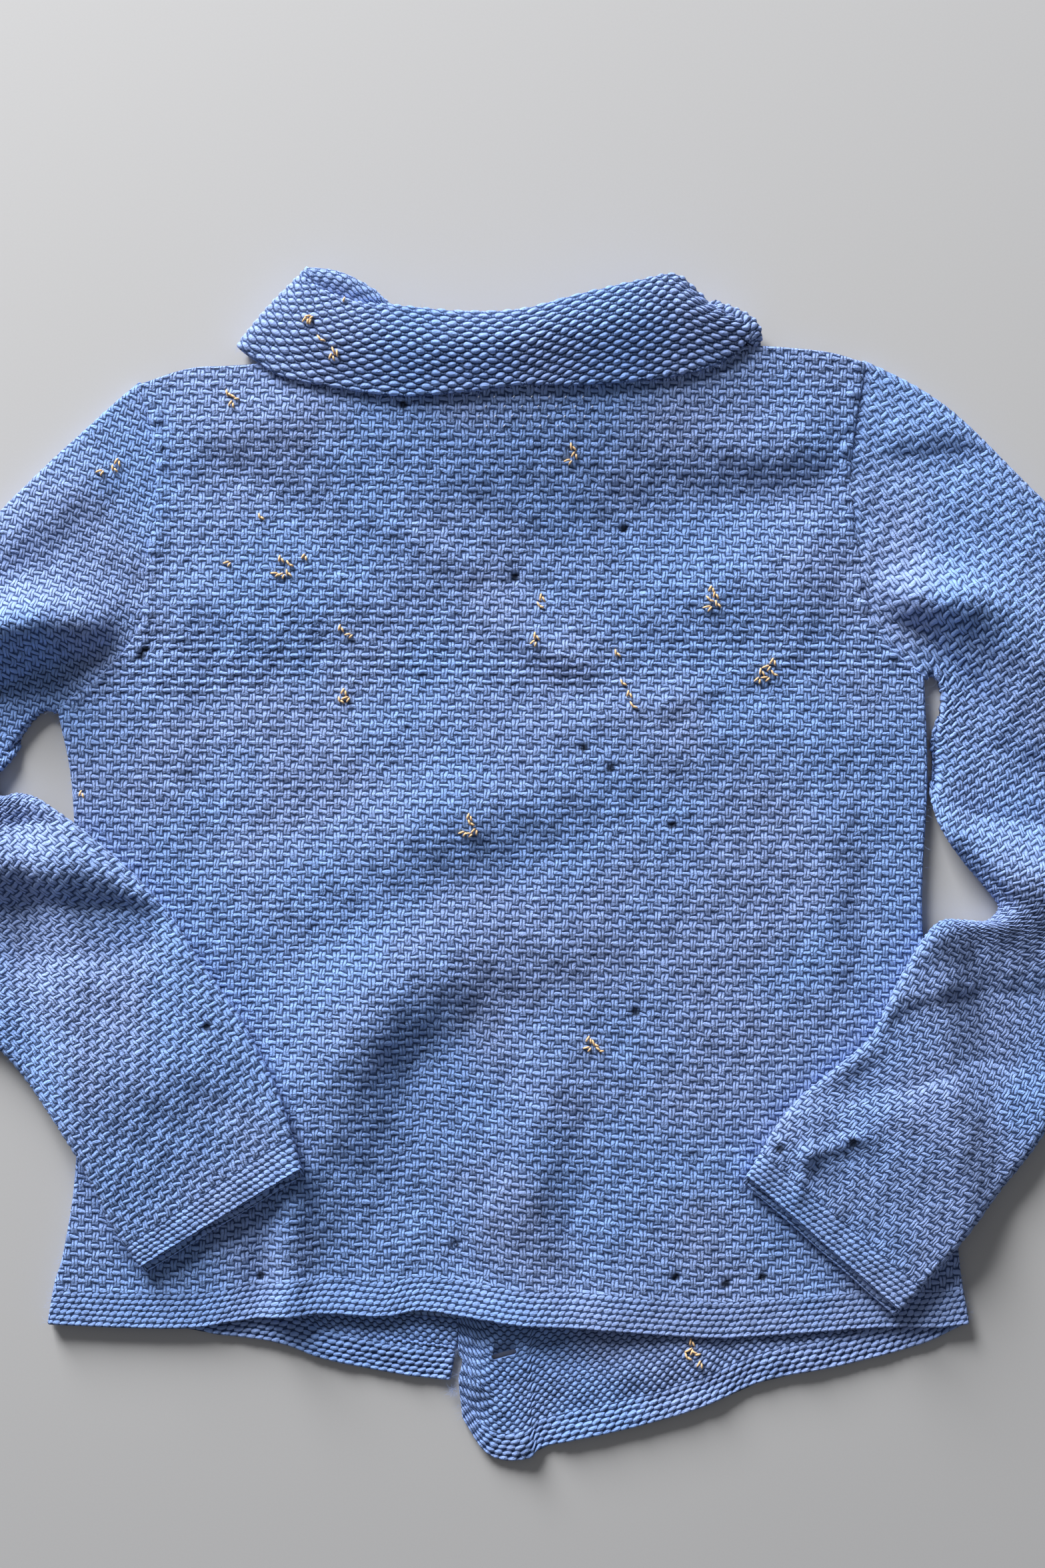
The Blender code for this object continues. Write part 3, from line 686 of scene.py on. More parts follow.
# u counts repeats of two stitches, v counts lines of floats. A float lies across the middle of
# the repeat, the legs fill the rest in pairs and dive under the floats of the lines either side.
LINEN = [
    ("line", "ROUND", "v"),
    ("b", "SUBTRACT", "v", "line"),
    ("ba", "ABSOLUTE", "b"),
    ("odd", "MODULO", "line", 2.0),
    ("half", "MULTIPLY", "odd", 0.5),
    ("us", "ADD", "u", "half"),
    ("cell", "FRACT", "us"),
    ("c", "SUBTRACT", "cell", 0.5),
    ("a", "ABSOLUTE", "c"),
    ("over", "SUBTRACT", "a", 0.17),
    ("past", "MAXIMUM", "over", 0.0),
    ("x", "MULTIPLY", "past", 8.0),
    ("tilt", "MULTIPLY", "c", 0.22),
    ("bt", "ADD", "b", "tilt"),
    ("y", "MULTIPLY", "bt", 4.4),
    *dome("float"),
    ("m1", "SUBTRACT", "a", 0.2),
    ("m2", "MULTIPLY", "m1", 10.0),
    ("m3", "MINIMUM", "m2", 1.0),
    ("m", "MAXIMUM", "m3", 0.0),
    ("floated", "SUBTRACT", 1.0, "m"),
    ("side", "SIGN", "b"),
    ("step", "MULTIPLY", "side", "floated"),
    ("along", "SUBTRACT", "b", "step"),
    ("splay", "MULTIPLY", "along", 0.06),
    ("u2", "MULTIPLY", "u", 2.0),
    ("u3", "ADD", "u2", 0.5),
    ("uf", "FRACT", "u3"),
    ("uc", "SUBTRACT", "uf", 0.5),
    ("e", "ABSOLUTE", "uc"),
    ("e0", "SUBTRACT", "e", "splay"),
    ("e1", "SUBTRACT", "e0", 0.235),
    ("e2", "MULTIPLY", "e1", 4.4),
    ("ee", "MULTIPLY", "e2", "e2"),
    ("el", "SUBTRACT", 1.0, "ee"),
    ("ek", "MAXIMUM", "el", 0.0),
    ("leg", "POWER", "ek", 0.5),
    ("b1", "SUBTRACT", "b", 0.06),
    ("b2", "ABSOLUTE", "b1"),
    ("high1", "MULTIPLY", "b2", 0.85),
    ("high", "SUBTRACT", 1.04, "high1"),
    ("low1", "MULTIPLY", "ba", 3.3),
    ("low", "SUBTRACT", "low1", 1.03),
    ("rise", "SUBTRACT", "high", "low"),
    ("rise2", "MULTIPLY", "rise", "m"),
    ("env", "ADD", "low", "rise2"),
    ("envk", "MAXIMUM", "env", 0.0),
    ("legs", "MULTIPLY", "leg", "envk"),
    ("height", "MAXIMUM", "float", "legs"),
]
linen_wool = wool("half_linen_stitch_wool", LINEN, 1.0)


def back_level(x, y):
    """The middle of the back's wall, which lies on the fronts. Folds fade out at the armholes."""
    at_armhole = ramp(np.abs(x + 3), 176, 208) * ramp(y, 385, 410)
    return front_level(x, y) + STACK + fold_height(x, y, BACK_FOLDS) * (1 - at_armhole)


def hole_depth(x, y, holes):
    """1 in the middle of each small hole, falling to 0 round it."""
    depth = np.zeros(x.shape)
    for hole_x, hole_y in holes:
        far = ((x - hole_x) ** 2 + (y - hole_y) ** 2) / HOLE_SIZE**2
        depth = np.maximum(depth, np.exp(-far))
    return depth


def back():
    """The back's patch: a grid line for each third of a stitch line and quarter of a repeat."""
    side, armhole = (np.linspace(0, 1, n * ROWS_PER_LINE + 1) for n in (SIDE_LINES, ARMHOLE_LINES))
    left = np.vstack([smooth(SIDE_LEFT, side), smooth(ARMHOLE_LEFT, armhole)[1:]])
    right = np.vstack([smooth(SIDE_RIGHT, side), smooth(ARMHOLE_RIGHT, armhole)[1:]])
    count = BACK_REPEATS * 4 + 1
    shoulder, neck = 70, count - 140
    top = np.vstack(
        [
            smooth(SHOULDER_LEFT, np.linspace(0, 1, shoulder)),
            smooth(NECK_BACK, np.linspace(0, 1, neck + 2))[1:-1],
            smooth(SHOULDER_RIGHT, np.linspace(0, 1, shoulder)),
        ]
    )
    plan = patch(left, right, smooth(BACK_HEM, np.linspace(0, 1, count)), top)
    x, y = plan[..., 0], plan[..., 1]
    inside = ramp(np.minimum(y, 560 - y), 0, 40) * ramp(250 - np.abs(x), 0, 40)
    plan = plan + np.dstack([uneven(x, y, 47), uneven(y, x, 61)]) * 0.8 * inside[..., None]
    x, y = plan[..., 0], plan[..., 1]
    row = np.arange(len(left))[:, None]
    u = x / REPEAT
    hem = np.interp(x, *np.array(BACK_HEM, float).T) * (1 - ramp(y, 0, 330))
    garter = wobbled(np.dstack([u, row / 2 + 0 * u]), x, y)
    linen = wobbled(np.dstack([u, (y - hem) / LINE]), x, y)
    relief = np.where(
        row < BORDER_ROWS, raised(GARTER, garter[..., 0] * 2, garter[..., 1]),
        raised(LINEN, linen[..., 0], linen[..., 1]),
    )
    holes = hole_depth(x, y, BACK_HOLES)
    level = back_level(x, y) + 0.5 * uneven(x, y, 31) * inside
    from_edge = np.minimum(x - x[:, :1], x[:, -1:] - x)
    lumps = np.maximum(uneven(0.4 * x, y, SEAM_LUMP) + 0.2, 0) * (row > SIDE_LINES * ROWS_PER_LINE)
    level = level + SEAM_LUMP_HEIGHT * lumps * np.exp(-(((from_edge - SEAM_LUMP_IN) / 2.4) ** 2))
    mid = np.dstack([plan, level])
    few = np.linspace(0, count - 1, 14).astype(int)
    uv = np.dstack([garter, linen])
    points, uv = wall_grid(mid, relief * RELIEF - HOLE_DEPTH * holes, uv, few)
    # Where the holes are, for their painted shade in the wool's colour
    dark = np.zeros(points.shape[:2])
    dark[END_ROWS:-END_ROWS, :count] = holes
    tops["back"] = mid + [0, 0, WALL / 2]
    slots = [(garter_wool, 0), (linen_wool, BORDER_ROWS + END_ROWS)]
    return knit_mesh("back_knit", points, uv, slots, dark)


back_knit = back()
lies_on(back_knit, "back")

# The sleeves: knitted flat in the same stitch, sewn into tubes along the underarm and set into the
# armholes. They lie flattened, bent at the elbow, with the forearm up on the body, and end in a
# garter cuff.
SLEEVE_LEFT = [
    (-268, 368, -220, 561, STACK / 2), (-279, 364, -258, 530, 2.5), (-286, 357, -290, 500, 3.4),
    (-290, 350, -322, 468, 4.5), (-294, 342, -356, 438, 5.0), (-299, 335, -394, 400, 5.0),
    (-305, 329, -424, 352, 5.5), (-308, 322, -435, 302, 6.0), (-301, 316, -421, 256, 6.0),
    (-290, 318, -393, 228, 5.5), (-274, 312, -366, 207, 5.0), (-239, 286, -338, 187, 4.5),
    (-206, 253, -306, 166, 4.5), (-182, 218, -281, 137, 4.5), (-156, 181, -256, 101, 4.5),
    (-134, 137, -237, 62, 2.8), (-122, 98, -220, 37, 2.0),
]
SLEEVE_RIGHT = [
    (247, 388, 212, 574, STACK / 2), (255, 385, 258, 552, 2.6), (258, 376, 306, 507, 3.6),
    (257, 364, 334, 478, 4.4), (253, 350, 355, 448, 4.8), (252, 333, 371, 418, 5.0),
    (252, 314, 381, 392, 5.0), (258, 295, 388, 364, 5.5), (270, 278, 393, 334, 6.0),
    (283, 263, 392, 300, 6.0), (292, 250, 388, 268, 6.0), (284, 241, 379, 239, 6.0),
    (270, 242, 367, 213, 5.5), (256, 242, 355, 186, 5.0), (245, 231, 344, 160, 5.0),
    (230, 204, 333, 137, 4.5), (214, 173, 316, 108, 4.5), (190, 152, 297, 84, 4.5),
    (165, 129, 268, 49, 3.0), (142, 92, 234, 11, 2.2),
]
CAP_BOW = [1.0, 0.6, 0.3, 0.1]
REST_GAP = 1.0
SLEEVE_RAMP_FROM = 3.0
SLEEVE_RAMP = 34.0
FOLDS_FULL_AT = 1.1
TROUGHS_FULL_AT = 0.8
LAYER_GAP = 0.4
FOREARM_FROM = 4.5
FOREARM_UP_AT = 8.0
SLEEVE_LEFT_FOLDS = [
    (-335, 400, -290, 418, 18, 11.0), (-290, 418, -248, 418, 17, 11.0),
    (-335, 334, -296, 364, 18, -12.0), (-296, 364, -252, 380, 15, -13.0),
    (-300, 470, -260, 500, 16, 4.0), (-300, 298, -256, 301, 8, -4.0),
    (-330, 280, -236, 275, 17, 12.0), (-330, 236, -232, 240, 24, -9.0),
    (-240, 150, -190, 160, 24, 3.0), (-214, 250, -176, 190, 9, 2.5),
]
SLEEVE_RIGHT_FOLDS = [
    (232, 534, 266, 540, 14, 4.0), (228, 514, 262, 518, 11, -3.5), (232, 436, 262, 432, 15, 12.0),
    (286, 424, 350, 384, 24, 8.0), (234, 402, 258, 384, 16, -16.0), (268, 330, 345, 300, 28, -12.0),
    (288, 266, 350, 270, 22, 15.0), (256, 186, 335, 176, 30, -10.0), (212, 190, 256, 200, 12, 5.0),
    (184, 138, 240, 152, 15, -6.0), (160, 112, 180, 128, 12, 4.0), (172, 82, 177, 104, 5, 3.0),
    (177, 104, 204, 113, 5, 3.0),
]
SLEEVE_LINE = 5.1
SLEEVE_REPEAT = 7.9
SLEEVE_RELIEF = 0.85
SLEEVE_ROWS_PER_LINE = 4
SLEEVE_COLUMNS = 90
SLEEVE_TURN = 9
SLEEVE_UNDER = 9
CUFF_BORDER = 19.0
CUFF_UNDER_LONGER = 4.5
CUFF_RETURN = 24.0
PARALLEL_TO = 6.0


def table_at(rows, at):
    """A table's rows read at fractions 0 to 1 of its length, each row taken as one even step."""
    p = with_ends(rows)
    at = np.asarray(at, float) * (len(rows) - 1)
    i = np.minimum(at.astype(int), len(rows) - 2)
    return between(p[i], p[i + 1], p[i + 2], p[i + 3], (at - i)[:, None])


def support(x, y, side):
    """The height that a sleeve's underside rests at: the body's top face, or the floor."""
    edge = np.array(side, float)
    beyond = np.sign(edge[0, 0]) * (x - np.interp(y, edge[:, 1], edge[:, 0]))
    low = np.where(y < edge[0, 1], edge[0, 1] - y, beyond)
    over_body = 1 - ramp(np.maximum(low, beyond), SLEEVE_RAMP_FROM, SLEEVE_RAMP)
    return (back_level(x, y) + STACK + REST_GAP - WALL / 2) * over_body


def sleeve(name, sections, armhole, side, folds, small_holes):
    """A sleeve: rings of a flattened tube, evenly spaced along it, armhole to cuff.

    A ring is the upper wall, fine, a round turn, the lower wall, coarse, and another turn. At the
    cuff the wall turns in round its edge, and the lower wall is a little longer.
    """
    share = np.linspace(0, 1, 400)
    rows = table_at(sections, share)
    centre = (rows[:, 0:2] + rows[:, 2:4]) / 2
    run = np.concatenate([[0], np.cumsum(np.linalg.norm(np.diff(centre, axis=0), axis=1))])
    lines = int(run[-1] / SLEEVE_LINE)
    count = lines * SLEEVE_ROWS_PER_LINE + 1
    share = np.interp(np.linspace(0, run[-1], count), run, share)
    station = share * (len(sections) - 1)
    rows = table_at(sections, share)
    inner, outer, half = rows[:, 0:2], rows[:, 2:4], rows[:, 4, None]
    centre_at = (inner + outer) / 2
    outward = unit(outer - inner)
    margin = (half + WALL / 2) * ramp(station, 0, 1)[:, None]
    bow_share = np.interp(station, range(len(CAP_BOW) + 1), CAP_BOW + [0])[:, None]
    upper_at = np.linspace(0, 1, SLEEVE_COLUMNS)
    seam = smooth(armhole, upper_at)
    seam_run = unit(np.gradient(seam, axis=0))
    seam = seam + SEAM * np.stack([seam_run[:, 1], -seam_run[:, 0]], axis=1) * np.sign(armhole[0][0])
    start, end = inner + outward * margin, outer - outward * margin
    start, end = start + (seam[0] - inner[0]) * bow_share, end + (seam[-1] - outer[0]) * bow_share
    bow = seam - (seam[0] + (seam[-1] - seam[0]) * upper_at[:, None])
    wall = start[:, None] + (end - start)[:, None] * upper_at[None, :, None]
    wall = wall + bow_share[:, None] * bow[None]

    turn = np.linspace(0, np.pi, SLEEVE_TURN + 2)[1:-1]
    bulge = half[:, None] * np.sin(turn)[None, :, None]
    inner_turn = wall[:, :1] + unit(wall[:, 0] - wall[:, 1])[:, None] * bulge
    outer_turn = wall[:, -1:] + unit(wall[:, -1] - wall[:, -2])[:, None] * bulge
    few = np.linspace(0, SLEEVE_COLUMNS - 1, SLEEVE_UNDER).astype(int)[::-1]
    ring = np.concatenate([wall, outer_turn, wall[:, few], inner_turn], axis=1)
    flat_up, flat_down = np.ones(SLEEVE_COLUMNS), -np.ones(SLEEVE_UNDER)
    facing = np.concatenate([flat_up, np.cos(turn), flat_down, -np.cos(turn)])
    lifted = ramp(station, FOREARM_FROM, FOREARM_UP_AT)[:, None]
    x, y = ring[..., 0], ring[..., 1]
    z = WALL / 2 + half * (1 + facing) + support(x, y, side) * lifted
    crown = np.concatenate([np.sin(np.pi * upper_at) ** 0.4, 0 * turn, 0 * flat_down, 0 * turn])
    bend = fold_height(x, y, folds)
    ridges_from = crown * ramp(station, 0, FOLDS_FULL_AT)[:, None]
    troughs_from = (1 + facing) / 2 * ramp(station, 0, TROUGHS_FULL_AT)[:, None]
    z = z + np.maximum(bend, 0) * ridges_from + np.minimum(bend, 0) * troughs_from
    z = z + 0.6 * uneven(x, y, 29) * crown
    beneath = WALL / 2 + support(x, y, side) * lifted
    z = np.where(facing == 1, np.maximum(z, beneath + WALL + LAYER_GAP), z)
    mid = np.dstack([ring, z])

    along = np.gradient(mid, axis=0)
    to_end = run[-1] - np.linspace(0, run[-1], count)
    longer = CUFF_UNDER_LONGER * ramp(-facing, -0.6, 0.6)[None] * ramp(-to_end, -14, 0)[:, None]
    mid = mid + unit(along) * longer[..., None]
    across = np.roll(mid, -1, axis=1) - np.roll(mid, 1, axis=1)
    out = unit(np.cross(across, along))
    out = out * np.sign(out[:, :SLEEVE_COLUMNS, 2].mean())

    width = np.linalg.norm(end - start, axis=1)[:, None]
    across_mm = np.concatenate([upper_at - 0.5, 0 * turn + 0.5, 1.5 - upper_at[few], 0 * turn - 0.5])
    round_mm = np.concatenate([0 * upper_at, turn, 0 * few + np.pi, turn - np.pi])
    u = (across_mm * width + round_mm * half) / SLEEVE_REPEAT
    row = np.arange(count)[:, None] + 0 * u
    v = row / SLEEVE_ROWS_PER_LINE
    parallel = int(np.argmin(np.abs(station - PARALLEL_TO)))
    axis = unit(centre_at[parallel + 1] - centre_at[parallel])
    from_there = mid[: parallel + 1, :, :2] - mid[parallel, :, :2]
    v[: parallel + 1] = v[parallel] + from_there @ axis / SLEEVE_LINE
    u[: parallel + 1] = u[parallel] + from_there @ outward[parallel] / SLEEVE_REPEAT
    ridges = (count - 1 - row) * SLEEVE_LINE / SLEEVE_ROWS_PER_LINE / RIDGE
    linen = wobbled(np.dstack([u, v]), mid[..., 0], mid[..., 1])
    garter = wobbled(np.dstack([u, ridges]), mid[..., 0], mid[..., 1])
    border_rows = int(CUFF_BORDER / run[-1] * count)
    relief = np.where(
        row < count - border_rows, raised(LINEN, linen[..., 0], linen[..., 1]),
        raised(GARTER, garter[..., 0] * 2, garter[..., 1]),
    )
    holes = hole_depth(mid[..., 0], mid[..., 1], small_holes) * (facing > 0)
    skin = mid + out * (WALL / 2 + relief * SLEEVE_RELIEF - SUNK - HOLE_DEPTH * holes)[..., None]
    way = unit(along[-1])
    lip = np.linspace(0, np.pi, 8)[1:-1, None, None]
    rim = mid[-1] + WALL / 2 * (out[-1] * np.cos(lip) + way * np.sin(lip))
    back_rows = int(CUFF_RETURN / run[-1] * count)
    inside = (mid - out * WALL / 2)[: -back_rows - 1 : -3]
    mouth = np.linspace(np.pi / 2, 0, 4)[:-1, None, None]
    start_rim = mid[0] + (skin[0] - mid[0]) * np.cos(mouth) - unit(along[0]) * WALL / 2 * np.sin(mouth)
    points = np.concatenate([start_rim, skin, rim, inside])
    uv = np.dstack([linen, garter])
    step = uv[-1] - uv[-2]
    uv = np.concatenate(
        [
            np.repeat(uv[:1], 3, axis=0), uv, uv[-1] + step * np.arange(1, 7)[:, None, None],
            uv[-1] + step * (7 + 3 * np.arange(len(inside)))[:, None, None],
        ]
    )
    closed = np.concatenate([points, points[:, :1]], axis=1)
    closed_uv = np.concatenate([uv, uv[:, :1]], axis=1)
    tops[name] = mid[:, :SLEEVE_COLUMNS] + [0, 0, WALL / 2]
    slots = [(linen_wool, 0), (garter_wool, count - border_rows + 3)]
    # Where the holes are, for their painted shade in the wool's colour
    dark = np.zeros(closed.shape[:2])
    dark[3 : 3 + count, :-1] = holes
    return knit_mesh(name, closed, closed_uv, slots, dark, open_ends=True)


sleeve_left = sleeve(
    "sleeve_left_knit", SLEEVE_LEFT, ARMHOLE_LEFT, SIDE_LEFT, SLEEVE_LEFT_FOLDS,
    [(-178, 180), (-253, 318)],
)
lies_on(sleeve_left, "sleeve_left")
sleeve_right = sleeve(
    "sleeve_right_knit", SLEEVE_RIGHT, ARMHOLE_RIGHT, SIDE_RIGHT, SLEEVE_RIGHT_FOLDS,
    [(161, 107), (204, 111)],
)
lies_on(sleeve_right, "sleeve_right")

# The collar: one band of moss stitch knitted on round the neck and turned down. Its free edge lies
# on the back, and its two ends turn under the shoulders to the fronts.
COLLAR_PUFF = 3.6
COLLAR_CREST = 1.6
BACK_ROLL = 1.5
FRONT_ROLL = 8.0
NECK_OPENING = 2.0
COLLAR_STITCH = 4.7
COLLAR_ROW = 2.9
COLLAR_RELIEF = 1.25
COLLAR_BACK = [
    (-155, 581, -119, 620, -2), (-135, 567, -107, 612, -1), (-105, 560, -88, 605, 0),
    (-65, 554, -62, 602, 0), (-25, 556, -25, 598, 0), (7, 560, 7, 599, 0), (39, 560, 44, 609, 0),
    (75, 563, 76, 617, 0), (107, 568, 97, 621, 3), (130, 577, 110, 612, 6), (142, 587, 118, 605, 9),
]
COLLAR_FRONT_LEFT = [
    (-155, 581, -117, 624, -2), (-126, 562, -100, 621, 0), (-90, 542, -81, 612, 0),
    (-50, 529, -62, 602, 0), (-6, 521, -6, 590, 0),
]
COLLAR_FRONT_RIGHT = [
    (0, 521, 0, 590, 0), (50, 532, 38, 592, 0), (95, 556, 76, 595, 0), (124, 574, 100, 600, 4),
    (142, 587, 124, 603, 9),
]
COLLAR_WALL_STEPS = 64
COLLAR_BEND_STEPS = 9
COLLAR_STAND_STEPS = 14
COLLAR_END_STEPS = 12


def collar_profile(table, neck, u, beneath, end_share):
    """The collar's middle at one share u of a table: outer wall, bend at the fold, and stand."""
    free, fold, bow = np.split(table_at(table, [u])[0], [2, 4])
    level = front_level if beneath else back_level
    side = -1 if beneath else 1
    arch = 0 if beneath else np.sin(np.pi * u) ** 0.5
    roll = FRONT_ROLL * ramp(end_share, 0.1, 0.7) if beneath else BACK_ROLL * arch
    gap = STACK + roll
    v = np.linspace(0, 1, COLLAR_WALL_STEPS + 1)[:, None]
    w = np.linspace(0, 1, COLLAR_STAND_STEPS + 1)[:, None]
    neck_z = level(*neck)
    stand_z = neck_z + (roll if beneath else NECK_OPENING * arch)
    free_z = WALL / 2 if beneath else level(*free) + STACK
    hump = COLLAR_PUFF * arch * np.sin(np.pi * v**COLLAR_CREST)
    outer_z = free_z + (stand_z + side * gap - free_z) * v + hump
    up = unit(fold - neck)
    turn = np.linspace(0, np.pi, COLLAR_BEND_STEPS + 1)[1:-1, None]
    outer = np.hstack([free + (fold - free) * v, outer_z])
    outer[:, 0] += bow * np.sin(np.pi * v[:, 0])
    bend = np.hstack(
        [fold + up * gap / 2 * np.sin(turn), stand_z + side * gap / 2 * (1 + np.cos(turn))]
    )
    stand = np.hstack([fold + (neck - fold) * w, stand_z + (neck_z - stand_z) * w])
    return np.vstack([outer, bend, stand])


def collar_sections(table, neck_rows, steps, crowding, beneath):
    """The collar's profiles along a table, its seam points crowding towards the shoulder."""
    u = np.linspace(0, 1, steps + 1)
    share = np.where(crowding < 0, u ** (1 - crowding), 1 - (1 - u) ** (1 + crowding))
    edge = smooth(neck_rows, share)
    before = smooth(neck_rows, np.maximum(share - 0.01, 0))
    run = unit(smooth(neck_rows, np.minimum(share + 0.01, 1)) - before)
    edge = edge + SEAM * np.stack([-run[:, 1], run[:, 0]], axis=1)
    end_share = 1 - u if crowding < 0 else u
    return [collar_profile(table, *row, beneath, e) for *row, e in zip(edge, u, end_share)]


def collar_end(beneath, above, side):
    """The sections round one end, turning from the wall beneath to the wall above."""
    middle = (beneath + above)[:, :2] / 2
    outer_run = np.gradient(middle[: COLLAR_WALL_STEPS + 1], axis=0)
    stand_run = np.gradient(middle[COLLAR_WALL_STEPS + COLLAR_BEND_STEPS :], axis=0)
    outer, stand = (np.stack([r[:, 1], -r[:, 0]], axis=1) * side for r in (outer_run, stand_run))
    t = np.linspace(0, 1, COLLAR_BEND_STEPS + 1)[1:-1, None]
    outer, stand = unit(outer), unit(stand)
    outward = unit(np.vstack([outer, outer[-1] * (1 - t) + stand[0] * t, stand]))
    lean = np.concatenate([np.ones(len(outer)), np.cos(np.pi * t[:, 0]), -np.ones(len(stand))])
    radius = (above[:, 2] - beneath[:, 2]) / 2
    sections = []
    for turn in np.linspace(0, np.pi, COLLAR_END_STEPS + 1):
        section = beneath + (above - beneath) * (1 - np.cos(turn)) / 2
        section[:, :2] += outward * (radius * lean * np.sin(turn))[:, None]
        sections.append(section)
    return sections


def collar():
    """The collar's sections from one front's end round the neck to the other's."""
    stitches = int(300 / COLLAR_STITCH)
    left = collar_sections(COLLAR_FRONT_LEFT, NECK_FRONT_LEFT, 40, -1, True)[::-1]
    above = collar_sections(COLLAR_BACK, NECK_BACK, stitches * 4, 0, False)
    right = collar_sections(COLLAR_FRONT_RIGHT, NECK_FRONT_RIGHT, 40, 1, True)[::-1]
    left_end = collar_end(left[-1], above[0], -1)
    right_end = collar_end(right[0], above[-1], 1)[::-1]
    mid = np.array(left[:-1] + left_end + above[1:-1] + right_end + right[1:])
    up = np.cumsum(np.linalg.norm(np.diff(mid, axis=1, prepend=mid[:, :1]), axis=2), axis=1)
    up = up - up[:, COLLAR_WALL_STEPS, None]
    fold = mid[:, COLLAR_WALL_STEPS // 2]
    run = np.cumsum(np.linalg.norm(np.diff(fold, axis=0, prepend=fold[:1]), axis=1))[:, None]
    uv = np.dstack([run / COLLAR_STITCH / 2 + 0 * up, up / COLLAR_ROW])
    uv = wobbled(uv, mid[..., 0], mid[..., 1])
    relief = raised(MOSS, uv[..., 0] * 2, uv[..., 1]) * COLLAR_RELIEF
    few = np.concatenate(
        [
            np.arange(0, COLLAR_WALL_STEPS - 3, 10),
            np.arange(COLLAR_WALL_STEPS, COLLAR_WALL_STEPS + COLLAR_BEND_STEPS + 1),
            COLLAR_WALL_STEPS + COLLAR_BEND_STEPS + np.array([3, 6, 10, COLLAR_STAND_STEPS]),
        ]
    )
    points, uv = wall_grid(mid, relief, uv, few, side=-1)
    tops["collar"] = mid[:, : COLLAR_WALL_STEPS + 1] + [0, 0, WALL / 2]
    return knit_mesh("collar_knit", points, uv, [(moss_wool, 0)])


collar_knit = collar()
lies_on(collar_knit, "collar")

# The darning: short stitches of cream wool thread over worn places and ladders, sewn by hand, and
# rows of tiny stitches in pale sewing thread under the collar. A row of the table is x, y, the
# stitch's length and its angle in degrees.
DARNS = {
    "collar": [
        (-101.6, 622.8, 3.0, 40), (-93.2, 618.0, 7.0, 55), (-91.0, 616.0, 3.5, 20),
        (-88.8, 612.8, 3.0, 10), (-98.4, 609.6, 2.6, 35), (-120.0, 597.2, 3.2, 50),
        (-118.0, 599.0, 2.8, 10), (-116.4, 596.0, 3.0, 75), (-111.2, 586.0, 3.4, 125),
        (-103.0, 578.6, 4.0, 110), (-100.8, 577.2, 3.6, 95), (-104.8, 575.6, 3.0, 70),
    ],
    "back": [
        (-167.2, 556.0, 3.0, 100), (-163.2, 553.6, 2.6, 140), (-165.2, 549.6, 2.8, 60),
        (-148.4, 483.2, 2.4, 100), (-168.4, 455.6, 2.6, 20), (-136.4, 458.0, 2.8, 80),
        (-139.6, 449.2, 3.2, 0), (-136.0, 448.4, 2.6, 30), (-132.0, 449.6, 3.0, 95),
        (-131.2, 455.2, 2.6, 120), (-122.4, 459.2, 2.4, 60), (-100.8, 416.8, 2.8, 75),
        (-96.0, 412.8, 2.6, 10), (-99.0, 379.0, 3.0, 60), (-97.6, 375.0, 3.2, 20),
        (-101.0, 374.0, 2.4, 100), (37.2, 523.6, 3.6, 95), (38.4, 519.0, 3.0, 60),
        (34.8, 515.4, 3.0, 20), (19.2, 435.2, 3.6, 80), (18.0, 430.6, 2.8, 115),
        (15.6, 412.0, 3.4, 85), (14.2, 408.0, 2.6, 40), (120.0, 440.0, 2.8, 60),
        (122.4, 436.4, 3.2, 80), (119.0, 434.0, 2.8, 130), (123.6, 431.0, 3.0, 95),
        (118.0, 429.0, 3.8, 15), (157.0, 397.0, 3.0, 60), (153.4, 393.6, 3.4, 20),
        (150.2, 390.8, 3.0, 80), (157.6, 390.0, 2.8, 120), (152.8, 387.2, 3.2, 5),
        (148.0, 386.0, 2.6, 45), (64.0, 402.0, 3.0, 95), (67.6, 384.4, 2.6, 110),
        (71.2, 377.6, 3.0, 75), (73.6, 370.8, 3.4, 120), (-24.0, 304.4, 2.8, 70),
        (-23.2, 301.0, 2.8, 110), (-28.0, 294.8, 2.6, 20), (-24.4, 294.2, 2.8, 5),
        (-20.8, 296.0, 2.8, 50), (47.2, 171.6, 3.0, 60), (50.8, 169.0, 3.2, 110),
        (46.4, 166.4, 2.8, 15), (53.6, 165.6, 2.8, 140),
    ],
    "sleeve_left_knit": [
        (-234.0, 516.0, 3.4, 60), (-236.0, 512.0, 2.8, 95), (-244.0, 510.0, 3.2, 20),
        (-253.2, 318.0, 2.8, 70),
    ],
    "front_right_knit": [
        (108.8, -10.0, 3.4, 80), (107.6, -14.8, 4.2, 30), (106.4, -18.4, 3.6, 110),
        (111.2, -16.0, 3.8, 150), (113.6, -22.8, 3.4, 60),
    ],
}
BESIDE = (1.9, -1.3)
BESIDE_LENGTH = 0.7
BESIDE_TURN = 37
THREAD = 1.25
THREAD_ARCH = 0.55
THREAD_DIP = 1.2
THREAD_SIDES = 8
THREAD_RINGS = 9
CREAM = "#F6CD98"
WHITE = "#DCE4F2"
DOT_ROWS = 4
DOT_COLUMNS = 7
DOT_STEP = (10.4, 5.6)
DOTS_FROM = (-18.0, 552.0)
DOT_LONG = 1.3
DOT_THICK = 0.7
DOT_UP = 1.1


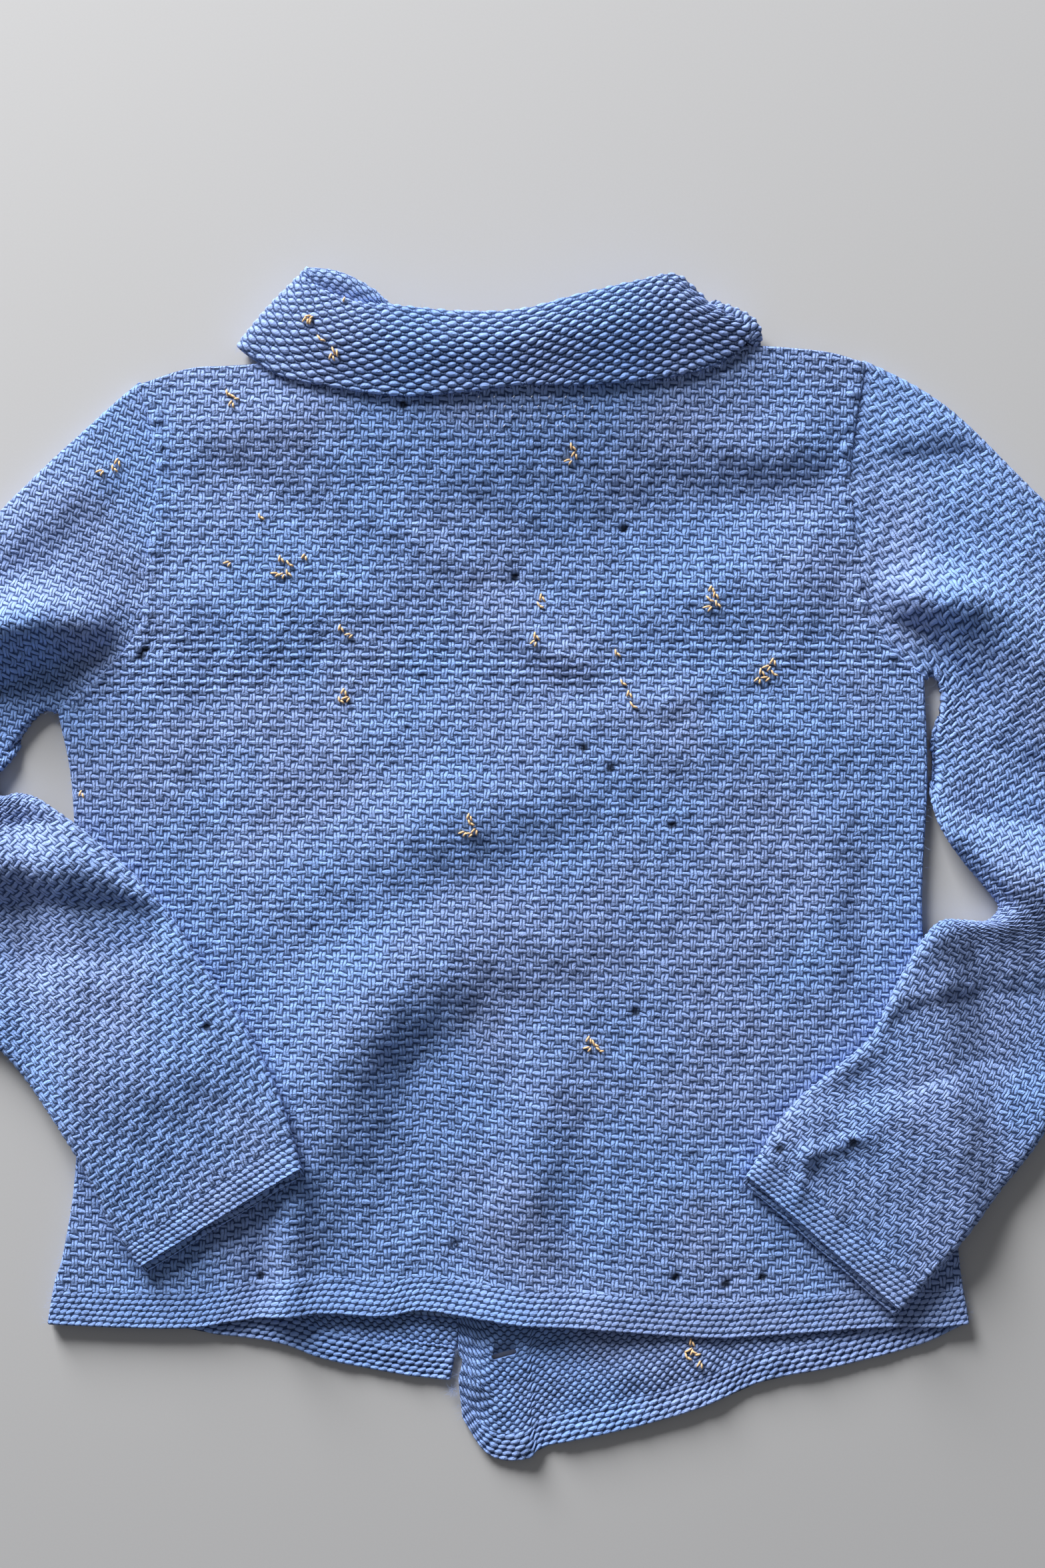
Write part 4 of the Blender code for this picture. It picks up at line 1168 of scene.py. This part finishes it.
def plain_thread(name, colour_hex):
    """Sewing thread or darning wool: matt, soft, a little darker between its plies' turns."""
    material, tree, shader = new_material(name)
    place = add(tree, "ShaderNodeTexCoord").outputs["Object"]
    turns = add(
        tree, "ShaderNodeTexNoise", {"Vector": place, "Scale": 1 / (0.5 * MM), "Detail": 2.0}
    )
    tone = add(
        tree, "ShaderNodeMapRange",
        {"Value": turns.outputs["Fac"], "From Min": 0.3, "From Max": 0.7, "To Min": 0.7, "To Max": 1.1},
    )
    colour = add(
        tree, "ShaderNodeMix",
        {"Factor": 1.0, "A": linear(colour_hex), "B": tone.outputs["Result"]}, data_type="RGBA",
        blend_type="MULTIPLY",
    )
    tree.links.new(colour.outputs["Result"], shader.inputs["Base Color"])
    shader.inputs["Roughness"].default_value = 0.85
    shader.inputs["Sheen Weight"].default_value = 0.3
    return material


def tubes(name, paths, radii, sides, material):
    """Closed tubes as one mesh: round sections of the given radii about each path's points."""
    count, rings = paths.shape[:2]
    run = unit(np.gradient(paths, axis=1))
    beside = unit(np.cross(run, np.array([0.31, 0.22, 0.93])))
    above = np.cross(beside, run)
    turn = np.linspace(0, 2 * np.pi, sides, endpoint=False)[:, None]
    section = beside[:, :, None] * np.cos(turn) + above[:, :, None] * np.sin(turn)
    points = paths[:, :, None] + section * radii[:, :, None, None]
    at = np.arange(count * rings * sides).reshape(count, rings, sides)
    beyond = np.roll(at, -1, axis=2)
    walls = np.stack([at[:, :-1], beyond[:, :-1], beyond[:, 1:], at[:, 1:]], axis=-1).reshape(-1, 4)
    caps = np.concatenate([at[:, 0, ::-1], at[:, -1]])
    flat = points.reshape(-1, 3)
    flat[:, :2] += MIDDLE
    mesh = bpy.data.meshes.new(name)
    mesh.from_pydata(flat * MM, [], walls.tolist() + caps.tolist())
    mesh.materials.append(material)
    return new_piece(name, mesh)


def top_at(name, x, y):
    """The height of a piece's upper side at x, y: that of the nearest point of its grid."""
    grid = tops[name].reshape(-1, 3)
    near = np.hypot(grid[:, 0] - x, grid[:, 1] - y).argmin()
    return grid[near, 2]


def darning():
    """Each stitch is a straight run with a parabola's arch, dipping into the knitting at its ends,
    and has a shorter one beside it."""
    t = np.linspace(-1, 1, THREAD_RINGS)
    paths = []
    sewn = [(name, *row) for name, rows in DARNS.items() for row in rows]
    beside = [
        (name, x + BESIDE[0], y + BESIDE[1], length * BESIDE_LENGTH, angle + BESIDE_TURN)
        for name, x, y, length, angle in sewn
    ]
    for name, x, y, length, angle in sewn + beside:
        turn = np.radians(angle)
        half = (length + THREAD) / 2
        z = top_at(name, x, y) + RELIEF - SUNK + THREAD_ARCH - THREAD_DIP * t**2
        paths.append(
            np.stack([x + half * t * np.cos(turn), y + half * t * np.sin(turn), z], axis=1)
        )
    paths = np.array(paths)
    radii = THREAD / 2 * (1 - 0.75 * t**4) * np.ones((len(paths), 1))
    wool_thread = plain_thread("cream_darning_wool", CREAM)
    return tubes("darning_stitches", paths, radii, THREAD_SIDES, wool_thread)


def pale_dots():
    """Staggered rows of short pale stitches: a lattice, each second row half a step along."""
    row, column = np.mgrid[0:DOT_ROWS, 0:DOT_COLUMNS]
    x = DOTS_FROM[0] + (column + row % 2 / 2) * DOT_STEP[0] + uneven(column * 31.0, row * 17.0, 9)
    y = DOTS_FROM[1] - row * DOT_STEP[1]
    t = np.linspace(-1, 1, 5)
    paths = [
        np.stack([a + DOT_LONG / 3 * t, b + DOT_LONG / 2 * t, top_at("back", a, b) + DOT_UP - t**2], axis=1)
        for a, b in zip(x.ravel(), y.ravel())
    ]
    radii = DOT_THICK / 2 * (1 - 0.5 * t**2) * np.ones((len(paths), 1))
    return tubes("pale_dots", np.array(paths), radii, 6, plain_thread("white_sewing_thread", WHITE))


darning_stitches = darning()
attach(darning_stitches, "root")
dots = pale_dots()
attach(dots, "root")

# The fuzz: loose fibres of the same wool that stand off its surface and its edges.
FIBRES = {
    "back": 1500,
    "sleeve_left_knit": 900,
    "sleeve_right_knit": 900,
    "collar": 1500,
    "front_left_knit": 250,
    "front_right_knit": 450,
}
TUFTS = [(-31.5, -15.0), (-33.0, -40.0), (-154.0, 582.0), (-152.0, 590.0)]
FIBRES_IN_TUFT = 60
SHARE_AT_EDGES = 0.4
FIBRE_LENGTHS = (1.5, 5.0)
FIBRE_SIZE = 0.07
FIBRE_RINGS = 5
FIBRE_TOP = 35.0
FIBRE_SEED = 11
FIBRE_BLUE = "#8FAAE2"


def fibre_wool():
    """A single wool fibre: pale blue and matt, with a soft sheen."""
    material, tree, shader = new_material("loose_wool_fibre")
    shader.inputs["Base Color"].default_value = linear(FIBRE_BLUE)
    shader.inputs["Roughness"].default_value = 0.8
    shader.inputs["Sheen Weight"].default_value = 0.3
    return material


def fuzz():
    """Fibres of one curl each: a start on the wool, a way out and up, and a bend to one side."""
    rng = np.random.default_rng(FIBRE_SEED)
    starts, ways = [], []
    for name, count in FIBRES.items():
        grid = tops[name]
        rows, columns = grid.shape[:2]
        row = rng.integers(0, rows, count)
        column = rng.integers(0, columns, count)
        at_edge = rng.random(count) < SHARE_AT_EDGES
        column = np.where(at_edge, np.where(column < columns / 2, 0, columns - 1), column)
        middle = grid[:, columns // 2][row]
        start = grid[row, column] + [0, 0, RELIEF - SUNK - 0.3]
        out = unit((start - middle) * [1, 1, 0]) * at_edge[:, None] * 1.6
        start[:, 2] -= at_edge * WALL / 2
        starts.append(start + out / 1.6 * WALL / 2)
        ways.append(unit(rng.normal(size=(count, 3)) * [1, 1, 0.35] + out + [0, 0, 0.35]))
    for x, y in TUFTS:
        spread = rng.normal(size=(FIBRES_IN_TUFT, 3)) * [1.5, 1.5, 0.8]
        starts.append(spread + [x, y, 3.0])
        ways.append(unit(rng.normal(size=(FIBRES_IN_TUFT, 3)) + [-1.2, 0, 0.3]))
    starts, ways = np.concatenate(starts), np.concatenate(ways)
    length = rng.uniform(*FIBRE_LENGTHS, (len(starts), 1, 1))
    curl = unit(np.cross(ways, rng.normal(size=ways.shape)))[:, None]
    t = np.linspace(0, 1, FIBRE_RINGS)[None, :, None]
    paths = starts[:, None] + length * (ways[:, None] * t + curl * rng.uniform(0.2, 0.9) * t**2)
    paths[..., 2] = np.clip(paths[..., 2], 0.3, FIBRE_TOP)
    radii = FIBRE_SIZE / 2 * (1 - 0.6 * t[..., 0]) * np.ones((len(paths), 1))
    return tubes("fuzz_fibres", paths, radii, 3, fibre_wool())


fuzz_fibres = fuzz()
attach(fuzz_fibres, "root")
